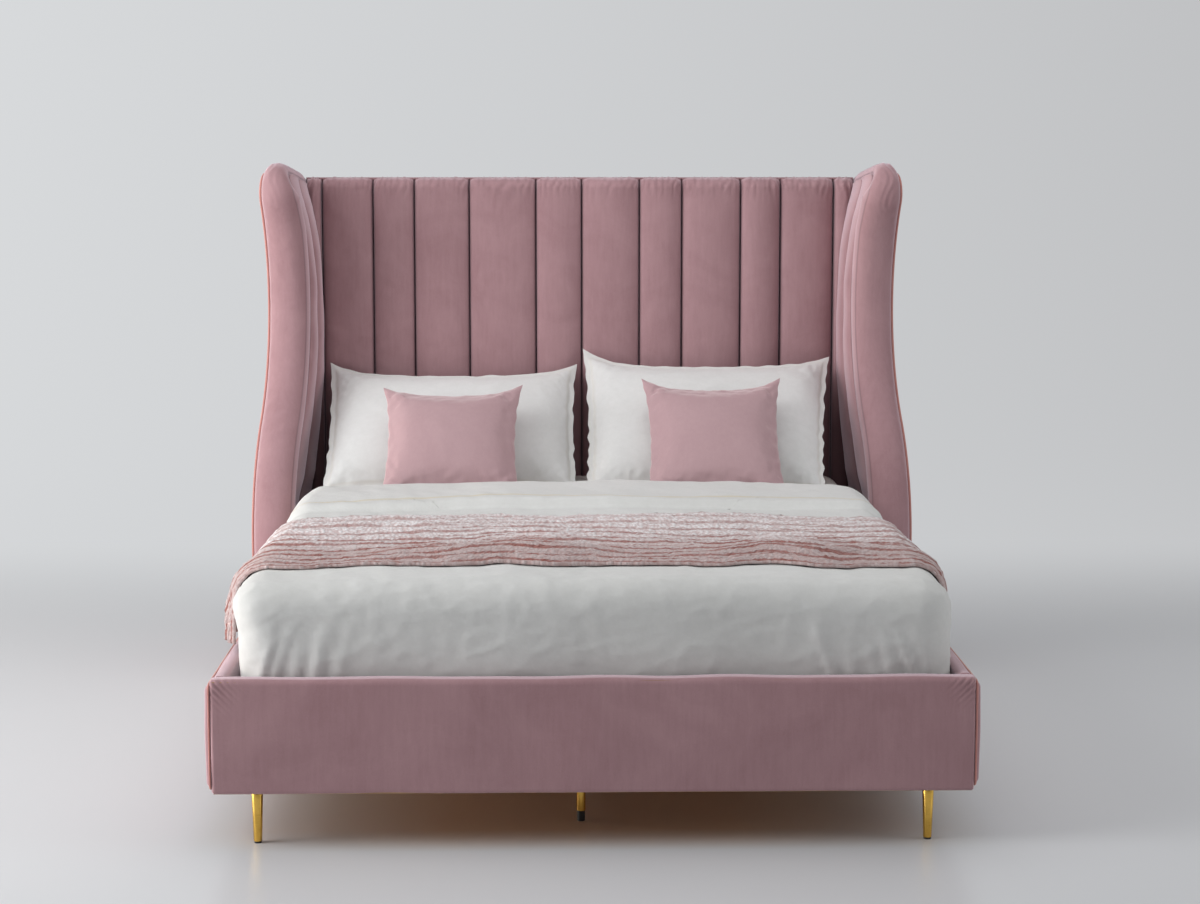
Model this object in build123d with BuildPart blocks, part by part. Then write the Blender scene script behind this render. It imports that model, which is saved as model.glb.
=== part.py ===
"""Upholstered wingback bed with sprung slats, mattress and bedding.

Millimetres. The origin is on the floor under the middle of the bed, +X to the right seen from
the foot, +Y towards the headboard and +Z up. Right-hand pieces are made first, and the left-hand
ones are their mirror images.
"""

import os
from math import atan, cos, degrees, radians, sin, sqrt, tan

from build123d import *

# Mattress, which sets the size of the bed
mattress_width = 1500.0
mattress_length = 2000.0
mattress_depth = 250.0
mattress_corner_radius = 60.0
mattress_edge_radius = 40.0
mattress_side_room = 30.0
mattress_end_room = 30.0

# Floor, legs and the height of the upholstered frame
rail_bottom = 120.0
rail_height = 246.0
rail_thickness = 30.0
footboard_thickness = 40.0
cover_thickness = 4.0
cover_edge_radius = 6.0
seat_gap = 0.3

# Padded panels on the outside of the side rails
side_pad_thickness = 12.0
side_pad_margin = 7.0
side_pad_edge_radius = 8.0
side_pad_corner_radius = 14.0
side_piping_radius = 2.5
side_pad_wing_gap = 3.0
piping_gap = 0.1
piping_sides = 6

# Headboard layers, front to back, and its height
headboard_height = 1403.0
channel_crown = 22.0
channel_base = 23.0
board_thickness = 10.0
post_depth = 37.0
back_panel_thickness = 8.0
top_border_height = 23.0
pad_bottom_gap = 6.0
post_width = 80.0
crossrail_height = 70.0
channel_top_radius = 32.0

# Channel seams across the right and the left of the headboard, as shares of half its width
right_seam_shares = (0.004, 0.215, 0.37, 0.585, 0.731, 0.925)
left_seam_shares = (0.163, 0.406, 0.606, 0.756, 0.941)

# Wings, in the plane of the wing: forward along it, and up
wing_flare = 8.0
wing_reach = 505.0
wing_hip_height = 380.0
wing_waist_height = 1050.0
wing_waist_setback = 222.0
wing_shoulder_height = 1330.0
wing_shoulder_lean = 70.0
wing_top_radius = 60.0
wing_top_fall = 8.0
wing_board_thickness = 45.0
outer_pad_thickness = 12.0
outer_pad_inset = 10.0
outer_pad_edge_radius = 9.0
wing_piping_radius = 4.0
roll_overhang = 61.0
roll_trim_start = 240.0
roll_depth = 45.0
roll_crown = 28.0
inner_channel_crown = 14.0

# Inner wing pad: how far up it each section lies, and how thick it is there
inner_pad_height_shares = (0.0, 0.17, 0.42, 0.66, 0.86, 1.0)
inner_pad_thickness = 46.0
inner_pad_thickness_shares = (0.2, 0.42, 0.8, 1.0, 0.72, 0.3)

# Crown of one channel of it: places across the channel, and how high it stands there
crown_place_shares = (0.0, 0.2, 0.5, 0.8, 1.0)
crown_rise_shares = (0.0, 0.75, 1.0, 0.75, 0.0)

# Slatted base
beam_width = 80.0
beam_height = 35.0
bearer_width = 25.0
bearer_top = 250.0
slat_count = 14
slat_width = 60.0
slat_thickness = 10.0
slat_bow = 12.0
holder_length = 50.0
holder_wall = 3.5
holder_play = 0.5
slat_centre_gap = 8.0
bearer_end_gap = 3.0
hanger_thickness = 3.0
hanger_lip = 60.0

# Corner brackets, leg blocks and bolts
bracket_thickness = 4.0
bracket_arm = 60.0
bracket_bottom = 215.0
bracket_height = 120.0
block_length = 120.0
block_depth = 90.0
block_height = 77.0
leg_plate_thickness = 3.0
leg_plate_size = 70.0
bolt_radius = 4.0
bolt_head_radius = 6.5
bolt_head_height = 5.0
bolt_hole_gap = 0.2
bolt_grip = 22.0
bolt_edge_share = 0.25
wing_bolt_heights = (480.0, 840.0, 1200.0)
wing_bolt_grip = 38.0

# Legs and feet
leg_inset = 90.0
leg_setback = 15.0
leg_stud_length = 25.0
leg_stud_room = 2.0
leg_top_radius = 14.0
leg_bottom_radius = 9.0
glide_radius = 8.0
glide_height = 4.0
centre_leg_radius = 10.0
centre_leg_shift = -25.0
centre_leg_inset = 210.0
foot_radius = 8.7
foot_height = 24.0
foot_stem_radius = 4.0
foot_stem_length = 40.0
foot_stem_room = 20.0
foot_stem_gap = 0.25
foot_edge = 1.5
leg_flange_radius = 15.0
leg_flange_thickness = 3.0

# Duvet and throw
duvet_top = 35.0
duvet_side = 18.0
duvet_hem_height = 340.0
duvet_edge_radius = 70.0
duvet_corner_radius = 78.0
duvet_back_inset = 1500.0
duvet_turnback_width = 380.0
duvet_turnback_height = 22.0
duvet_liner_gap = 0.5
duvet_lining_share = 0.5
fold_depth = 8.0
fold_width = 50.0
fold_top_share = 0.4
side_fold_shares = (0.2, 0.72)
front_fold_shares = (-0.86, -0.77, -0.62, 0.5, 0.68, 0.79, 0.87)
throw_back_inset = 940.0
throw_front_inset = 240.0
throw_thickness = 5.0
throw_ridge_height = 8.0
throw_ridge_shares = (0.16, 0.13, 0.2, 0.15, 0.19, 0.17)
throw_slope_share = 0.3
throw_drop = 180.0
throw_gap = 0.5

# Pillows and cushions
pillow_side_room = 17.5
pillow_inset = 10.0
pillow_height = 500.0
pillow_half_depth = 72.0
pillow_side_draw = 14.0
pillow_lean_angle = 40.0
cushion_width = 395.0
cushion_height = 385.0
cushion_half_depth = 62.0
cushion_side_draw = 22.0
cushion_lean_angle = 46.0
cushion_inset = 8.0

# Bands of a pillow from its seam to its crown: share of the half depth, and lean in degrees
crown_band_shares = (0.34, 0.3, 0.22, 0.14)
crown_band_angles = (20, 50, 70, 82)

# Overrun for cuts
over = 20.0

# Planes and lines worked out from the sizes above
bed_length = (footboard_thickness + mattress_length + 2 * mattress_end_room + channel_crown
              + channel_base + board_thickness + post_depth + back_panel_thickness)
rail_top = rail_bottom + rail_height
foot_front = -bed_length / 2
foot_inner = foot_front + footboard_thickness
back_rear = bed_length / 2
back_panel_front = back_rear - back_panel_thickness
board_rear = back_panel_front - post_depth
board_front = board_rear - board_thickness
panel_front = board_front - channel_base - channel_crown
rail_inner = mattress_width / 2 + mattress_side_room
rail_outer = rail_inner + rail_thickness
headboard_half = rail_outer - seat_gap
pad_bottom = rail_top + pad_bottom_gap
board_top = headboard_height - top_border_height
slat_end_bottom = bearer_top + holder_wall
mattress_bottom = slat_end_bottom + slat_thickness + slat_bow + seat_gap
mattress_top = mattress_bottom + mattress_depth
mattress_foot = foot_inner + mattress_end_room
mattress_head = mattress_foot + mattress_length
pillow_width = mattress_width / 2 - 2 * pillow_side_room
leg_x = rail_outer - leg_inset
leg_top = rail_bottom - leg_plate_thickness
leg_places = ((foot_inner + leg_setback, "front"), (board_front - block_depth / 2, "rear"))
beam_bottom = bearer_top - beam_height
roll_width = wing_board_thickness + roll_overhang
hole_radius = bolt_radius + bolt_hole_gap
bolt_heights = (bracket_bottom + bracket_height * bolt_edge_share,
                bracket_bottom + bracket_height * (1 - bolt_edge_share))
wing_bolt_y = (board_rear + back_panel_front) / 2
flare = radians(wing_flare)


def save(part, name):
    """Names a piece after its node and writes it."""
    part.label = name
    export_step(part, f"parts/{name}.step")


def save_pair(part, name):
    """Writes a right-hand piece and its mirror image on the left."""
    save(part, f"{name}_right")
    with BuildPart() as left:
        mirror(part, about=Plane.YZ)
    save(left.part, f"{name}_left")


def block(x, y, z, mode=Mode.ADD):
    """A box between two values on each axis, in the part that is being built."""
    with BuildSketch(Plane.XY.offset(min(z))) as base:
        with Locations(((x[0] + x[1]) / 2, (y[0] + y[1]) / 2)):
            Rectangle(abs(x[1] - x[0]), abs(y[1] - y[0]))
    extrude(base.sketch, amount=abs(z[1] - z[0]), mode=mode)


def rod(plane, radius, length, mode=Mode.ADD):
    """A round rod standing on a plane, in the part that is being built."""
    with BuildSketch(plane) as disc:
        Circle(radius)
    extrude(disc.sketch, amount=length, mode=mode)


# Bolts of the corner brackets: where each starts, on the bracket's face, and the way it points

def bracket_bolts():
    """Planes of the bolts, each on the inner face of a bracket arm and facing into the frame."""
    arm = bracket_arm / 2
    planes = []
    for side in (-1, 1):
        for wall, inward in ((foot_inner, 1), (board_front, -1)):
            for z in bolt_heights:
                into_rail = (side * (rail_inner - bracket_thickness), wall + inward * arm, z)
                into_end = (side * (rail_inner - arm), wall + inward * bracket_thickness, z)
                planes.append(Plane(origin=into_rail, z_dir=(side, 0, 0)))
                planes.append(Plane(origin=into_end, z_dir=(0, -inward, 0)))
    return planes


def wing_bolts(sides=(-1, 1)):
    """Planes of the wing bolts, each on the inner side of an outer post and facing outwards."""
    start = headboard_half - post_width
    return [Plane(origin=(side * start, wing_bolt_y, z), z_dir=(side, 0, 0))
            for side in sides for z in wing_bolt_heights]


def bore_bracket_bolts():
    """Clears the bolts of the corner brackets out of the part that is being built."""
    for plane in bracket_bolts():
        rod(plane, hole_radius, bolt_grip, mode=Mode.SUBTRACT)


# Side rails: a timber core, a padded cover open underneath, an outer pad and its piping

def make_side_rail():
    inner = rail_inner + cover_thickness
    outer = rail_outer - cover_thickness
    with BuildPart() as core:
        block((inner, outer), (foot_inner, board_front), (rail_bottom, rail_top - cover_thickness))
        bore_bracket_bolts()
    with BuildPart() as cover:
        block((rail_inner, rail_outer), (foot_inner, board_front), (rail_bottom, rail_top))
        fillet(cover.edges().filter_by(Axis.Y).group_by(Axis.Z)[-1], cover_edge_radius)
        block((inner, outer), (foot_inner, board_front), (rail_bottom, rail_top - cover_thickness),
              mode=Mode.SUBTRACT)
        bore_bracket_bolts()
    save_pair(core.part, "side_rail_core")
    save_pair(cover.part, "side_rail_cover")


def make_side_pad():
    """The pad runs from the front corner of the bed to the foot of the wing."""
    reach = (wing_reach + roll_crown) * cos(flare) + roll_width * sin(flare)
    rear = back_rear - reach - side_pad_wing_gap
    bottom = rail_bottom + side_pad_margin
    top = rail_top - side_pad_margin
    bead = side_piping_radius
    with BuildPart() as pad:
        block((rail_outer, rail_outer + side_pad_thickness),
              (foot_front + 2 * bead, rear - 2 * bead), (bottom + 2 * bead, top - 2 * bead))
        fillet(pad.edges().filter_by(Axis.X), side_pad_corner_radius - bead)
        fillet(pad.faces().sort_by(Axis.X)[-1].edges(), side_pad_edge_radius)
    with BuildPart() as piping:
        with BuildLine(Plane.YZ.offset(rail_outer + bead + piping_gap)) as loop:
            FilletPolyline((foot_front + bead, bottom + bead), (rear - bead, bottom + bead),
                           (rear - bead, top - bead), (foot_front + bead, top - bead),
                           radius=side_pad_corner_radius, close=True)
        path = loop.wire()
        with BuildSketch(Plane(origin=path @ 0, z_dir=path % 0)):
            RegularPolygon(bead, piping_sides)
        sweep(path=path)
    save_pair(pad.part, "side_rail_pad")
    save_pair(piping.part, "side_rail_piping")


# Footboard: a timber core and a padded cover open underneath

def make_footboard():
    front = foot_front + cover_thickness
    rear = foot_inner - cover_thickness
    half = rail_outer - cover_thickness
    with BuildPart() as core:
        block((-half, half), (front, rear), (rail_bottom, rail_top - cover_thickness))
        bore_bracket_bolts()
    with BuildPart() as cover:
        block((-rail_outer, rail_outer), (foot_front, foot_inner), (rail_bottom, rail_top))
        upper = cover.edges().group_by(Axis.Z)[-1].filter_by(Axis.X)
        front_ends = cover.edges().filter_by(Axis.Z).group_by(Axis.Y)[0]
        fillet(upper + front_ends, cover_edge_radius)
        block((-half, half), (front, rear), (rail_bottom, rail_top - cover_thickness),
              mode=Mode.SUBTRACT)
        bore_bracket_bolts()
    save(core.part, "footboard_core")
    save(cover.part, "footboard_cover")


# Headboard: posts and cross rails, front board, back panel, top border and channelled pad

def post_places():
    """Centres of the four posts across the headboard."""
    outer = headboard_half - post_width / 2
    return [outer * (2 * index / 3 - 1) for index in range(4)]


def make_headboard_frame():
    places = post_places()
    depth = (board_rear, back_panel_front)
    half = post_width / 2
    with BuildPart() as posts:
        for x in places:
            block((x - half, x + half), depth, (rail_bottom, board_top))
        bore_bracket_bolts()
        for plane in wing_bolts():
            rod(plane, hole_radius, post_width, mode=Mode.SUBTRACT)
    save(posts.part, "headboard_posts")
    middle = (rail_bottom + board_top - crossrail_height) / 2
    with BuildPart() as rails:
        for left, right in zip(places, places[1:]):
            for bottom in (rail_bottom, middle, board_top - crossrail_height):
                block((left + half, right - half), depth, (bottom, bottom + crossrail_height))
    save(rails.part, "headboard_crossrails")


def make_headboard_panels():
    across = (-headboard_half, headboard_half)
    with BuildPart() as board:
        block(across, (board_front, board_rear), (rail_bottom, board_top))
        bore_bracket_bolts()
    save(board.part, "headboard_front_board")
    with BuildPart() as back:
        block(across, (back_panel_front, back_rear), (rail_bottom, board_top))
        fillet(back.faces().sort_by(Axis.Y)[-1].edges(), back_panel_thickness / 2)
    save(back.part, "headboard_back_panel")
    with BuildPart() as border:
        block(across, (board_front, back_rear), (board_top, headboard_height))
        rear_edge = border.edges().filter_by(Axis.X).group_by(Axis.Z)[-1].sort_by(Axis.Y)[-1]
        fillet(rear_edge, top_border_height / 2)
    save(border.part, "headboard_top_border")


def seam_lines():
    """Places of the seams across the headboard, from left to right, with both ends."""
    left = [-share * headboard_half for share in reversed(left_seam_shares)]
    right = [share * headboard_half for share in right_seam_shares]
    return [-headboard_half, *left, *right, headboard_half]


def channel_plan(height, depth_share):
    """Plan of the channelled pad at one height: flat behind, one arc to a channel in front."""
    seams = seam_lines()
    seam_y = board_front - channel_base * depth_share
    crown_y = board_front - (channel_base + channel_crown) * depth_share
    with BuildSketch(Plane.XY.offset(height)) as plan:
        with BuildLine():
            for left, right in zip(seams, seams[1:]):
                ThreePointArc((left, seam_y), ((left + right) / 2, crown_y), (right, seam_y))
            Polyline((seams[-1], seam_y), (seams[-1], board_front), (seams[0], board_front),
                     (seams[0], seam_y))
        make_face()
    return plan.sketch


def make_headboard_pad():
    """The channels run straight up, then turn back over the top in a quarter round."""
    shoulder = headboard_height - channel_top_radius
    reach_share = 1 - channel_top_radius / (channel_base + channel_crown)
    plans = [channel_plan(pad_bottom, 1), channel_plan(shoulder, 1)]
    for angle in (30, 60, 90):
        depth_share = reach_share + (1 - reach_share) * cos(radians(angle))
        height = shoulder + channel_top_radius * sin(radians(angle))
        plans.append(channel_plan(height, depth_share))
    with BuildPart() as pad:
        loft(plans, ruled=True)
    save(pad.part, "headboard_channel_pad")


# Wings: the front edge is a straight foot, a hip arc, a waist arc, a shoulder arc and a round top

def wing_plane(offset=0.0):
    """Plane of the right wing, local X forward and local Y up, offset inwards from its board."""
    start = rail_outer + wing_board_thickness / cos(flare)
    plane = Plane(origin=(start, back_rear, 0), x_dir=(sin(flare), -cos(flare), 0),
                  z_dir=(-cos(flare), -sin(flare), 0))
    return plane.offset(offset)


def wing_point(u, v):
    """X and Y of a point so far forward along the wing, and inwards from its board."""
    point = wing_plane(v).from_local_coords((u, 0, 0))
    return (point.X, point.Y)


def wing_arcs(inset):
    """Centre, radius, start angle and turn of each arc of the front edge, inset from its seam."""
    rise = wing_waist_height - wing_hip_height
    hip_turn = 2 * atan(wing_waist_setback / rise)
    hip_radius = rise / (2 * sin(hip_turn))
    shoulder_rise = wing_shoulder_height - wing_waist_height
    shoulder_turn = 2 * atan(wing_shoulder_lean / shoulder_rise)
    shoulder_radius = shoulder_rise / sin(shoulder_turn)
    hip_u = wing_reach - hip_radius
    waist_u = hip_u + 2 * hip_radius * cos(hip_turn)
    shoulder_u = wing_reach - wing_waist_setback + shoulder_radius
    top_u = shoulder_u - (shoulder_radius + wing_top_radius) * cos(shoulder_turn)
    top_z = wing_shoulder_height + wing_top_radius * sin(shoulder_turn)
    hip = degrees(hip_turn)
    shoulder = degrees(shoulder_turn)
    return [
        ((hip_u, wing_hip_height), hip_radius - inset, 0, hip),
        ((waist_u, wing_waist_height), hip_radius + inset, 180 + hip, -hip),
        ((shoulder_u, wing_waist_height), shoulder_radius + inset, 180, -shoulder),
        ((top_u, top_z), wing_top_radius - inset, -shoulder, 90 + wing_top_fall + shoulder),
    ]


def arc_end(arc):
    """Last point of an arc given as centre, radius, start angle and turn."""
    (u, z), radius, start, turn = arc
    angle = radians(start + turn)
    return (u + radius * cos(angle), z + radius * sin(angle))


def wing_front_line(inset, rear):
    """Front edge and top of the wing, laid in the line that is being built."""
    Line((wing_reach - inset, rail_bottom), (wing_reach - inset, wing_hip_height))
    arcs = wing_arcs(inset)
    for centre, radius, start, turn in arcs:
        CenterArc(centre, radius, start, turn)
    top = arc_end(arcs[-1])
    end = (rear, top[1] - (top[0] - rear) * tan(radians(wing_top_fall)))
    Line(top, end)
    return end


def wing_outline(offset, inset, rear=0.0):
    """Closed outline of the wing in its plane, as a sketch."""
    with BuildSketch(wing_plane(offset)) as outline:
        with BuildLine():
            end = wing_front_line(inset, rear)
            Polyline(end, (rear, rail_bottom), (wing_reach - inset, rail_bottom))
        make_face()
    return outline.sketch


def wing_front_u(height, inset):
    """How far forward the front edge lies at a height; the outline itself shapes the round top."""
    hip, waist, shoulder, _ = wing_arcs(inset)
    if height <= wing_hip_height:
        return wing_reach - inset
    if height >= arc_end(shoulder)[1]:
        return arc_end(shoulder)[0]
    if height <= arc_end(hip)[1]:
        (u, z), radius = hip[:2]
        return u + sqrt(radius ** 2 - (height - z) ** 2)
    (u, z), radius = (waist if height <= wing_waist_height else shoulder)[:2]
    return u - sqrt(radius ** 2 - (height - z) ** 2)


def make_wing_board():
    with BuildPart() as board:
        extrude(wing_outline(0, roll_depth), amount=wing_board_thickness)
        for plane in wing_bolts(sides=(1,)):
            rod(plane, hole_radius, post_width + wing_bolt_grip, mode=Mode.SUBTRACT)
    save_pair(board.part, "wing_board")


def make_wing_outer_pad():
    with BuildPart() as pad:
        rear = outer_pad_thickness * tan(flare)
        extrude(wing_outline(0, outer_pad_inset, rear), amount=-outer_pad_thickness)
        outwards = Axis((0, 0, 0), (cos(flare), sin(flare), 0))
        fillet(pad.faces().sort_by(outwards)[-1].edges(), outer_pad_edge_radius)
    save_pair(pad.part, "wing_outer_pad")


def swept_wing_trim(offset, inset):
    """Path up the front edge and back to the headboard, and the plane across its foot."""
    rear = (back_rear - board_front) / cos(flare)
    with BuildLine(wing_plane(offset)) as path:
        wing_front_line(inset, rear)
    foot = wing_plane(offset).from_local_coords((wing_reach - inset, rail_bottom, 0))
    return path.wire(), Plane(origin=foot, x_dir=(sin(flare), -cos(flare), 0), z_dir=(0, 0, 1))


def make_wing_roll():
    """A D-shaped roll up the front edge and over the top, narrowing to meet the headboard."""
    path, foot = swept_wing_trim(0, 0)
    with BuildPart() as roll:
        with BuildSketch(foot):
            with BuildLine():
                ThreePointArc((0, 0), (roll_crown, -roll_width / 2), (0, -roll_width))
                Polyline((0, -roll_width), (-roll_depth, -roll_width), (-roll_depth, 0), (0, 0))
            make_face()
        sweep(path=path)
        with BuildSketch(Plane.XY.offset(wing_waist_height)):
            with BuildLine():
                Polyline(wing_point(roll_trim_start, roll_width), (rail_outer, panel_front - seat_gap),
                         (rail_outer, back_rear + over), (0, back_rear + over),
                         (0, wing_point(roll_trim_start, roll_width)[1]), close=True)
            make_face()
        extrude(amount=wing_waist_height, mode=Mode.SUBTRACT)
    save_pair(roll.part, "wing_front_roll")


def make_wing_piping():
    path, foot = swept_wing_trim(-wing_piping_radius - piping_gap, wing_piping_radius)
    with BuildPart() as piping:
        with BuildSketch(foot):
            RegularPolygon(wing_piping_radius, piping_sides)
        sweep(path=path)
    save_pair(piping.part, "wing_piping")


def inner_pad_plan(height, share):
    """Plan of the inner wing pad at one height: two crowned channels, thicker at the waist."""
    board = wing_board_thickness
    seam = board + inner_pad_thickness * share
    front = wing_front_u(height, roll_depth)
    rear = (back_rear - panel_front + seat_gap - seam * sin(flare)) / cos(flare)
    rear_base = (back_rear - panel_front + seat_gap - board * sin(flare)) / cos(flare)
    channel = (front - rear) / 2
    points = [wing_point(front, board)]
    for start in (front, front - channel):
        for place, rise in zip(crown_place_shares, crown_rise_shares):
            point = wing_point(start - place * channel, seam + rise * inner_channel_crown * share)
            if place < 1 or start < front:
                points.append(point)
    points.append(wing_point(rear_base, board))
    with BuildSketch(Plane.XY.offset(height)) as plan:
        with BuildLine():
            Polyline(points, close=True)
        make_face()
    return plan.sketch


def make_wing_inner_pad():
    plans = []
    for height_share, share in zip(inner_pad_height_shares, inner_pad_thickness_shares):
        height = pad_bottom + height_share * (headboard_height - pad_bottom)
        plans.append(inner_pad_plan(height, share))
    with BuildPart() as pad:
        loft(plans, ruled=True)
        extrude(wing_outline(wing_board_thickness, roll_depth, -over), amount=2 * roll_overhang,
                mode=Mode.INTERSECT)
    save_pair(pad.part, "wing_inner_pad")


# Slatted base: bearers on the rails, a centre beam on hangers, sprung slats in holders

def make_bearers_and_beam():
    room = block_depth + bearer_end_gap
    with BuildPart() as bearer:
        block((rail_inner - bearer_width, rail_inner), (foot_inner + room, board_front - room),
              (beam_bottom, bearer_top))
    save_pair(bearer.part, "slat_bearer")
    room = hanger_thickness + seat_gap
    with BuildPart() as beam:
        block((-beam_width / 2, beam_width / 2), (foot_inner + room, board_front - room),
              (beam_bottom, bearer_top))
    save(beam.part, "centre_beam")


def make_beam_hangers():
    """A steel cradle at each end of the beam: a back plate, a shelf and two cheeks."""
    half = beam_width / 2 + hanger_thickness + seat_gap
    bottom = beam_bottom - hanger_thickness
    with BuildPart() as hangers:
        for wall, inward in ((foot_inner, 1), (board_front, -1)):
            shelf = sorted((wall, wall + inward * hanger_lip))
            plate = sorted((wall, wall + inward * hanger_thickness))
            block((-half, half), plate, (bottom, bearer_top))
            block((-half, half), shelf, (bottom, beam_bottom))
            for side in (-1, 1):
                cheek = sorted((side * half, side * (half - hanger_thickness)))
                block(cheek, shelf, (bottom, bearer_top))
    save(hangers.part, "centre_beam_hangers")


def slat_places():
    """Centres of the slats along the bed."""
    pitch = mattress_length / (slat_count + 1)
    return [mattress_foot + pitch * (index + 1) for index in range(slat_count)]


def make_slats():
    """Each slat is a bent strip, highest in its middle."""
    inner = slat_centre_gap
    outer = rail_inner - holder_wall - seat_gap
    middle = (inner + outer) / 2
    low = slat_end_bottom
    high = low + slat_thickness
    with BuildPart() as slats:
        for y in slat_places():
            with BuildSketch(Plane.XZ.offset(-y - slat_width / 2)):
                with BuildLine():
                    ThreePointArc((inner, low), (middle, low + slat_bow), (outer, low))
                    Line((outer, low), (outer, high))
                    ThreePointArc((outer, high), (middle, high + slat_bow), (inner, high))
                    Line((inner, high), (inner, low))
                make_face()
            extrude(amount=slat_width)
    save_pair(slats.part, "slats")


def make_slat_holders():
    """Trays that grip the slat ends: one a slat on each rail, one a pair of slats on the beam."""
    half = slat_width / 2 + holder_play + holder_wall
    pocket = slat_width / 2 + holder_play
    top = slat_end_bottom + slat_thickness
    with BuildPart() as outer:
        for y in slat_places():
            block((rail_inner - holder_length, rail_inner), (y - half, y + half), (bearer_top, top))
            block((rail_inner - holder_length - over, rail_inner - holder_wall),
                  (y - pocket, y + pocket), (slat_end_bottom, top + over), mode=Mode.SUBTRACT)
    save_pair(outer.part, "slat_holders")
    with BuildPart() as centre:
        wall = slat_centre_gap - seat_gap
        for y in slat_places():
            block((-holder_length, holder_length), (y - half, y + half), (bearer_top, top))
            for side in (-1, 1):
                span = sorted((side * wall, side * (holder_length + over)))
                block(span, (y - pocket, y + pocket), (slat_end_bottom, top + over),
                      mode=Mode.SUBTRACT)
    save(centre.part, "slat_holders_centre")


# Corner joints: angle brackets, leg blocks, leg plates and bolts

def make_corner_joints():
    with BuildPart() as brackets:
        for side in (-1, 1):
            for wall, inward in ((foot_inner, 1), (board_front, -1)):
                x_inner = side * (rail_inner - bracket_thickness)
                y_inner = wall + inward * bracket_thickness
                heights = (bracket_bottom, bracket_bottom + bracket_height)
                block((side * rail_inner, x_inner), (wall, wall + inward * bracket_arm), heights)
                block((side * rail_inner, side * (rail_inner - bracket_arm)), (wall, y_inner), heights)
        bore_bracket_bolts()
    save(brackets.part, "corner_brackets")
    with BuildPart() as blocks:
        for side in (-1, 1):
            for wall, inward in ((foot_inner, 1), (board_front, -1)):
                block((side * rail_inner, side * (rail_inner - block_length)),
                      (wall, wall + inward * block_depth), (rail_bottom, rail_bottom + block_height))
            for y, _ in leg_places:
                rod(Plane((side * leg_x, y, rail_bottom)), hole_radius,
                    leg_stud_length + leg_stud_room, mode=Mode.SUBTRACT)
    save(blocks.part, "leg_blocks")


def make_bolts():
    """Hexagon bolts: the head stands on the plane and the shank goes through it."""
    with BuildPart() as bolts:
        for plane in bracket_bolts():
            rod(plane, bolt_radius, bolt_grip)
            with BuildSketch(plane):
                RegularPolygon(bolt_head_radius, 6)
            extrude(amount=-bolt_head_height)
    save(bolts.part, "bracket_bolts")
    with BuildPart() as bolts:
        for plane in wing_bolts():
            rod(plane, bolt_radius, post_width + wing_bolt_grip)
            with BuildSketch(plane):
                RegularPolygon(bolt_head_radius, 6)
            extrude(amount=-bolt_head_height)
    save(bolts.part, "wing_bolts")


# Legs: four tapered corner legs on plates, three straight centre legs with levelling feet

def make_corner_legs():
    with BuildPart() as plates:
        for side in (-1, 1):
            for y, _ in leg_places:
                half = leg_plate_size / 2
                block((side * leg_x - half, side * leg_x + half), (y - half, y + half),
                      (leg_top, rail_bottom))
                rod(Plane((side * leg_x, y, leg_top)), hole_radius, leg_plate_thickness,
                    mode=Mode.SUBTRACT)
    save(plates.part, "leg_plates")
    with BuildPart() as glides:
        for side in (-1, 1):
            for y, _ in leg_places:
                rod(Plane((side * leg_x, y, 0)), glide_radius, glide_height)
    save(glides.part, "leg_glides")
    for y, place in leg_places:
        with BuildPart() as leg:
            with BuildSketch(Plane((leg_x, y, 0), x_dir=(1, 0, 0), z_dir=(0, -1, 0))):
                with BuildLine():
                    Polyline((0, glide_height), (leg_bottom_radius, glide_height),
                             (leg_top_radius, leg_top), (bolt_radius, leg_top),
                             (bolt_radius, leg_top + leg_stud_length),
                             (0, leg_top + leg_stud_length), close=True)
                make_face()
            revolve(axis=Axis((leg_x, y, 0), (0, 0, 1)))
        save_pair(leg.part, f"leg_{place}")


def centre_leg_places():
    """Centres of the three legs under the beam, from the foot to the head."""
    front = foot_front + centre_leg_inset
    return (("front", front), ("middle", 0.0), ("rear", -front))


def make_centre_legs():
    stem_bore = foot_stem_radius + foot_stem_gap
    for place, y in centre_leg_places():
        x = centre_leg_shift
        axis = Axis((x, y, 0), (0, 0, 1))
        plane = Plane((x, y, 0), x_dir=(1, 0, 0), z_dir=(0, -1, 0))
        bore_top = foot_height + foot_stem_length + foot_stem_room
        flange = beam_bottom - leg_flange_thickness
        with BuildPart() as leg:
            with BuildSketch(plane):
                with BuildLine():
                    Polyline((stem_bore, foot_height), (centre_leg_radius, foot_height),
                             (centre_leg_radius, flange), (leg_flange_radius, flange),
                             (leg_flange_radius, beam_bottom), (0, beam_bottom), (0, bore_top),
                             (stem_bore, bore_top), close=True)
                make_face()
            revolve(axis=axis)
        save(leg.part, f"centre_leg_{place}")
        with BuildPart() as foot:
            rod(Plane((x, y, 0)), foot_radius, foot_height - seat_gap)
            chamfer(foot.edges().sort_by(Axis.Z)[0], foot_edge)
            rod(Plane((x, y, foot_height - seat_gap)), foot_stem_radius, foot_stem_length)
        save(foot.part, f"levelling_foot_{place}")


# Mattress and bedding

def rounded_block(half, ends, heights, corner_radius, edge_radius):
    """A block with rounded corners in plan and rounded edges, cut from its three outlines."""
    length = ends[1] - ends[0]
    height = heights[1] - heights[0]
    middle = (sum(ends) / 2, sum(heights) / 2)
    with BuildPart() as form:
        with BuildSketch(Plane.XY.offset(heights[0])):
            with Locations((0, middle[0])):
                RectangleRounded(2 * half, length, corner_radius)
        extrude(amount=height)
        with BuildSketch(Plane.XZ.offset(-ends[1])):
            with Locations((0, middle[1])):
                RectangleRounded(2 * half, height, edge_radius)
        extrude(amount=length, mode=Mode.INTERSECT)
        with BuildSketch(Plane.YZ.offset(-half)):
            with Locations(middle):
                RectangleRounded(length, height, edge_radius)
        extrude(amount=2 * half, mode=Mode.INTERSECT)
    return form.part


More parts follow.
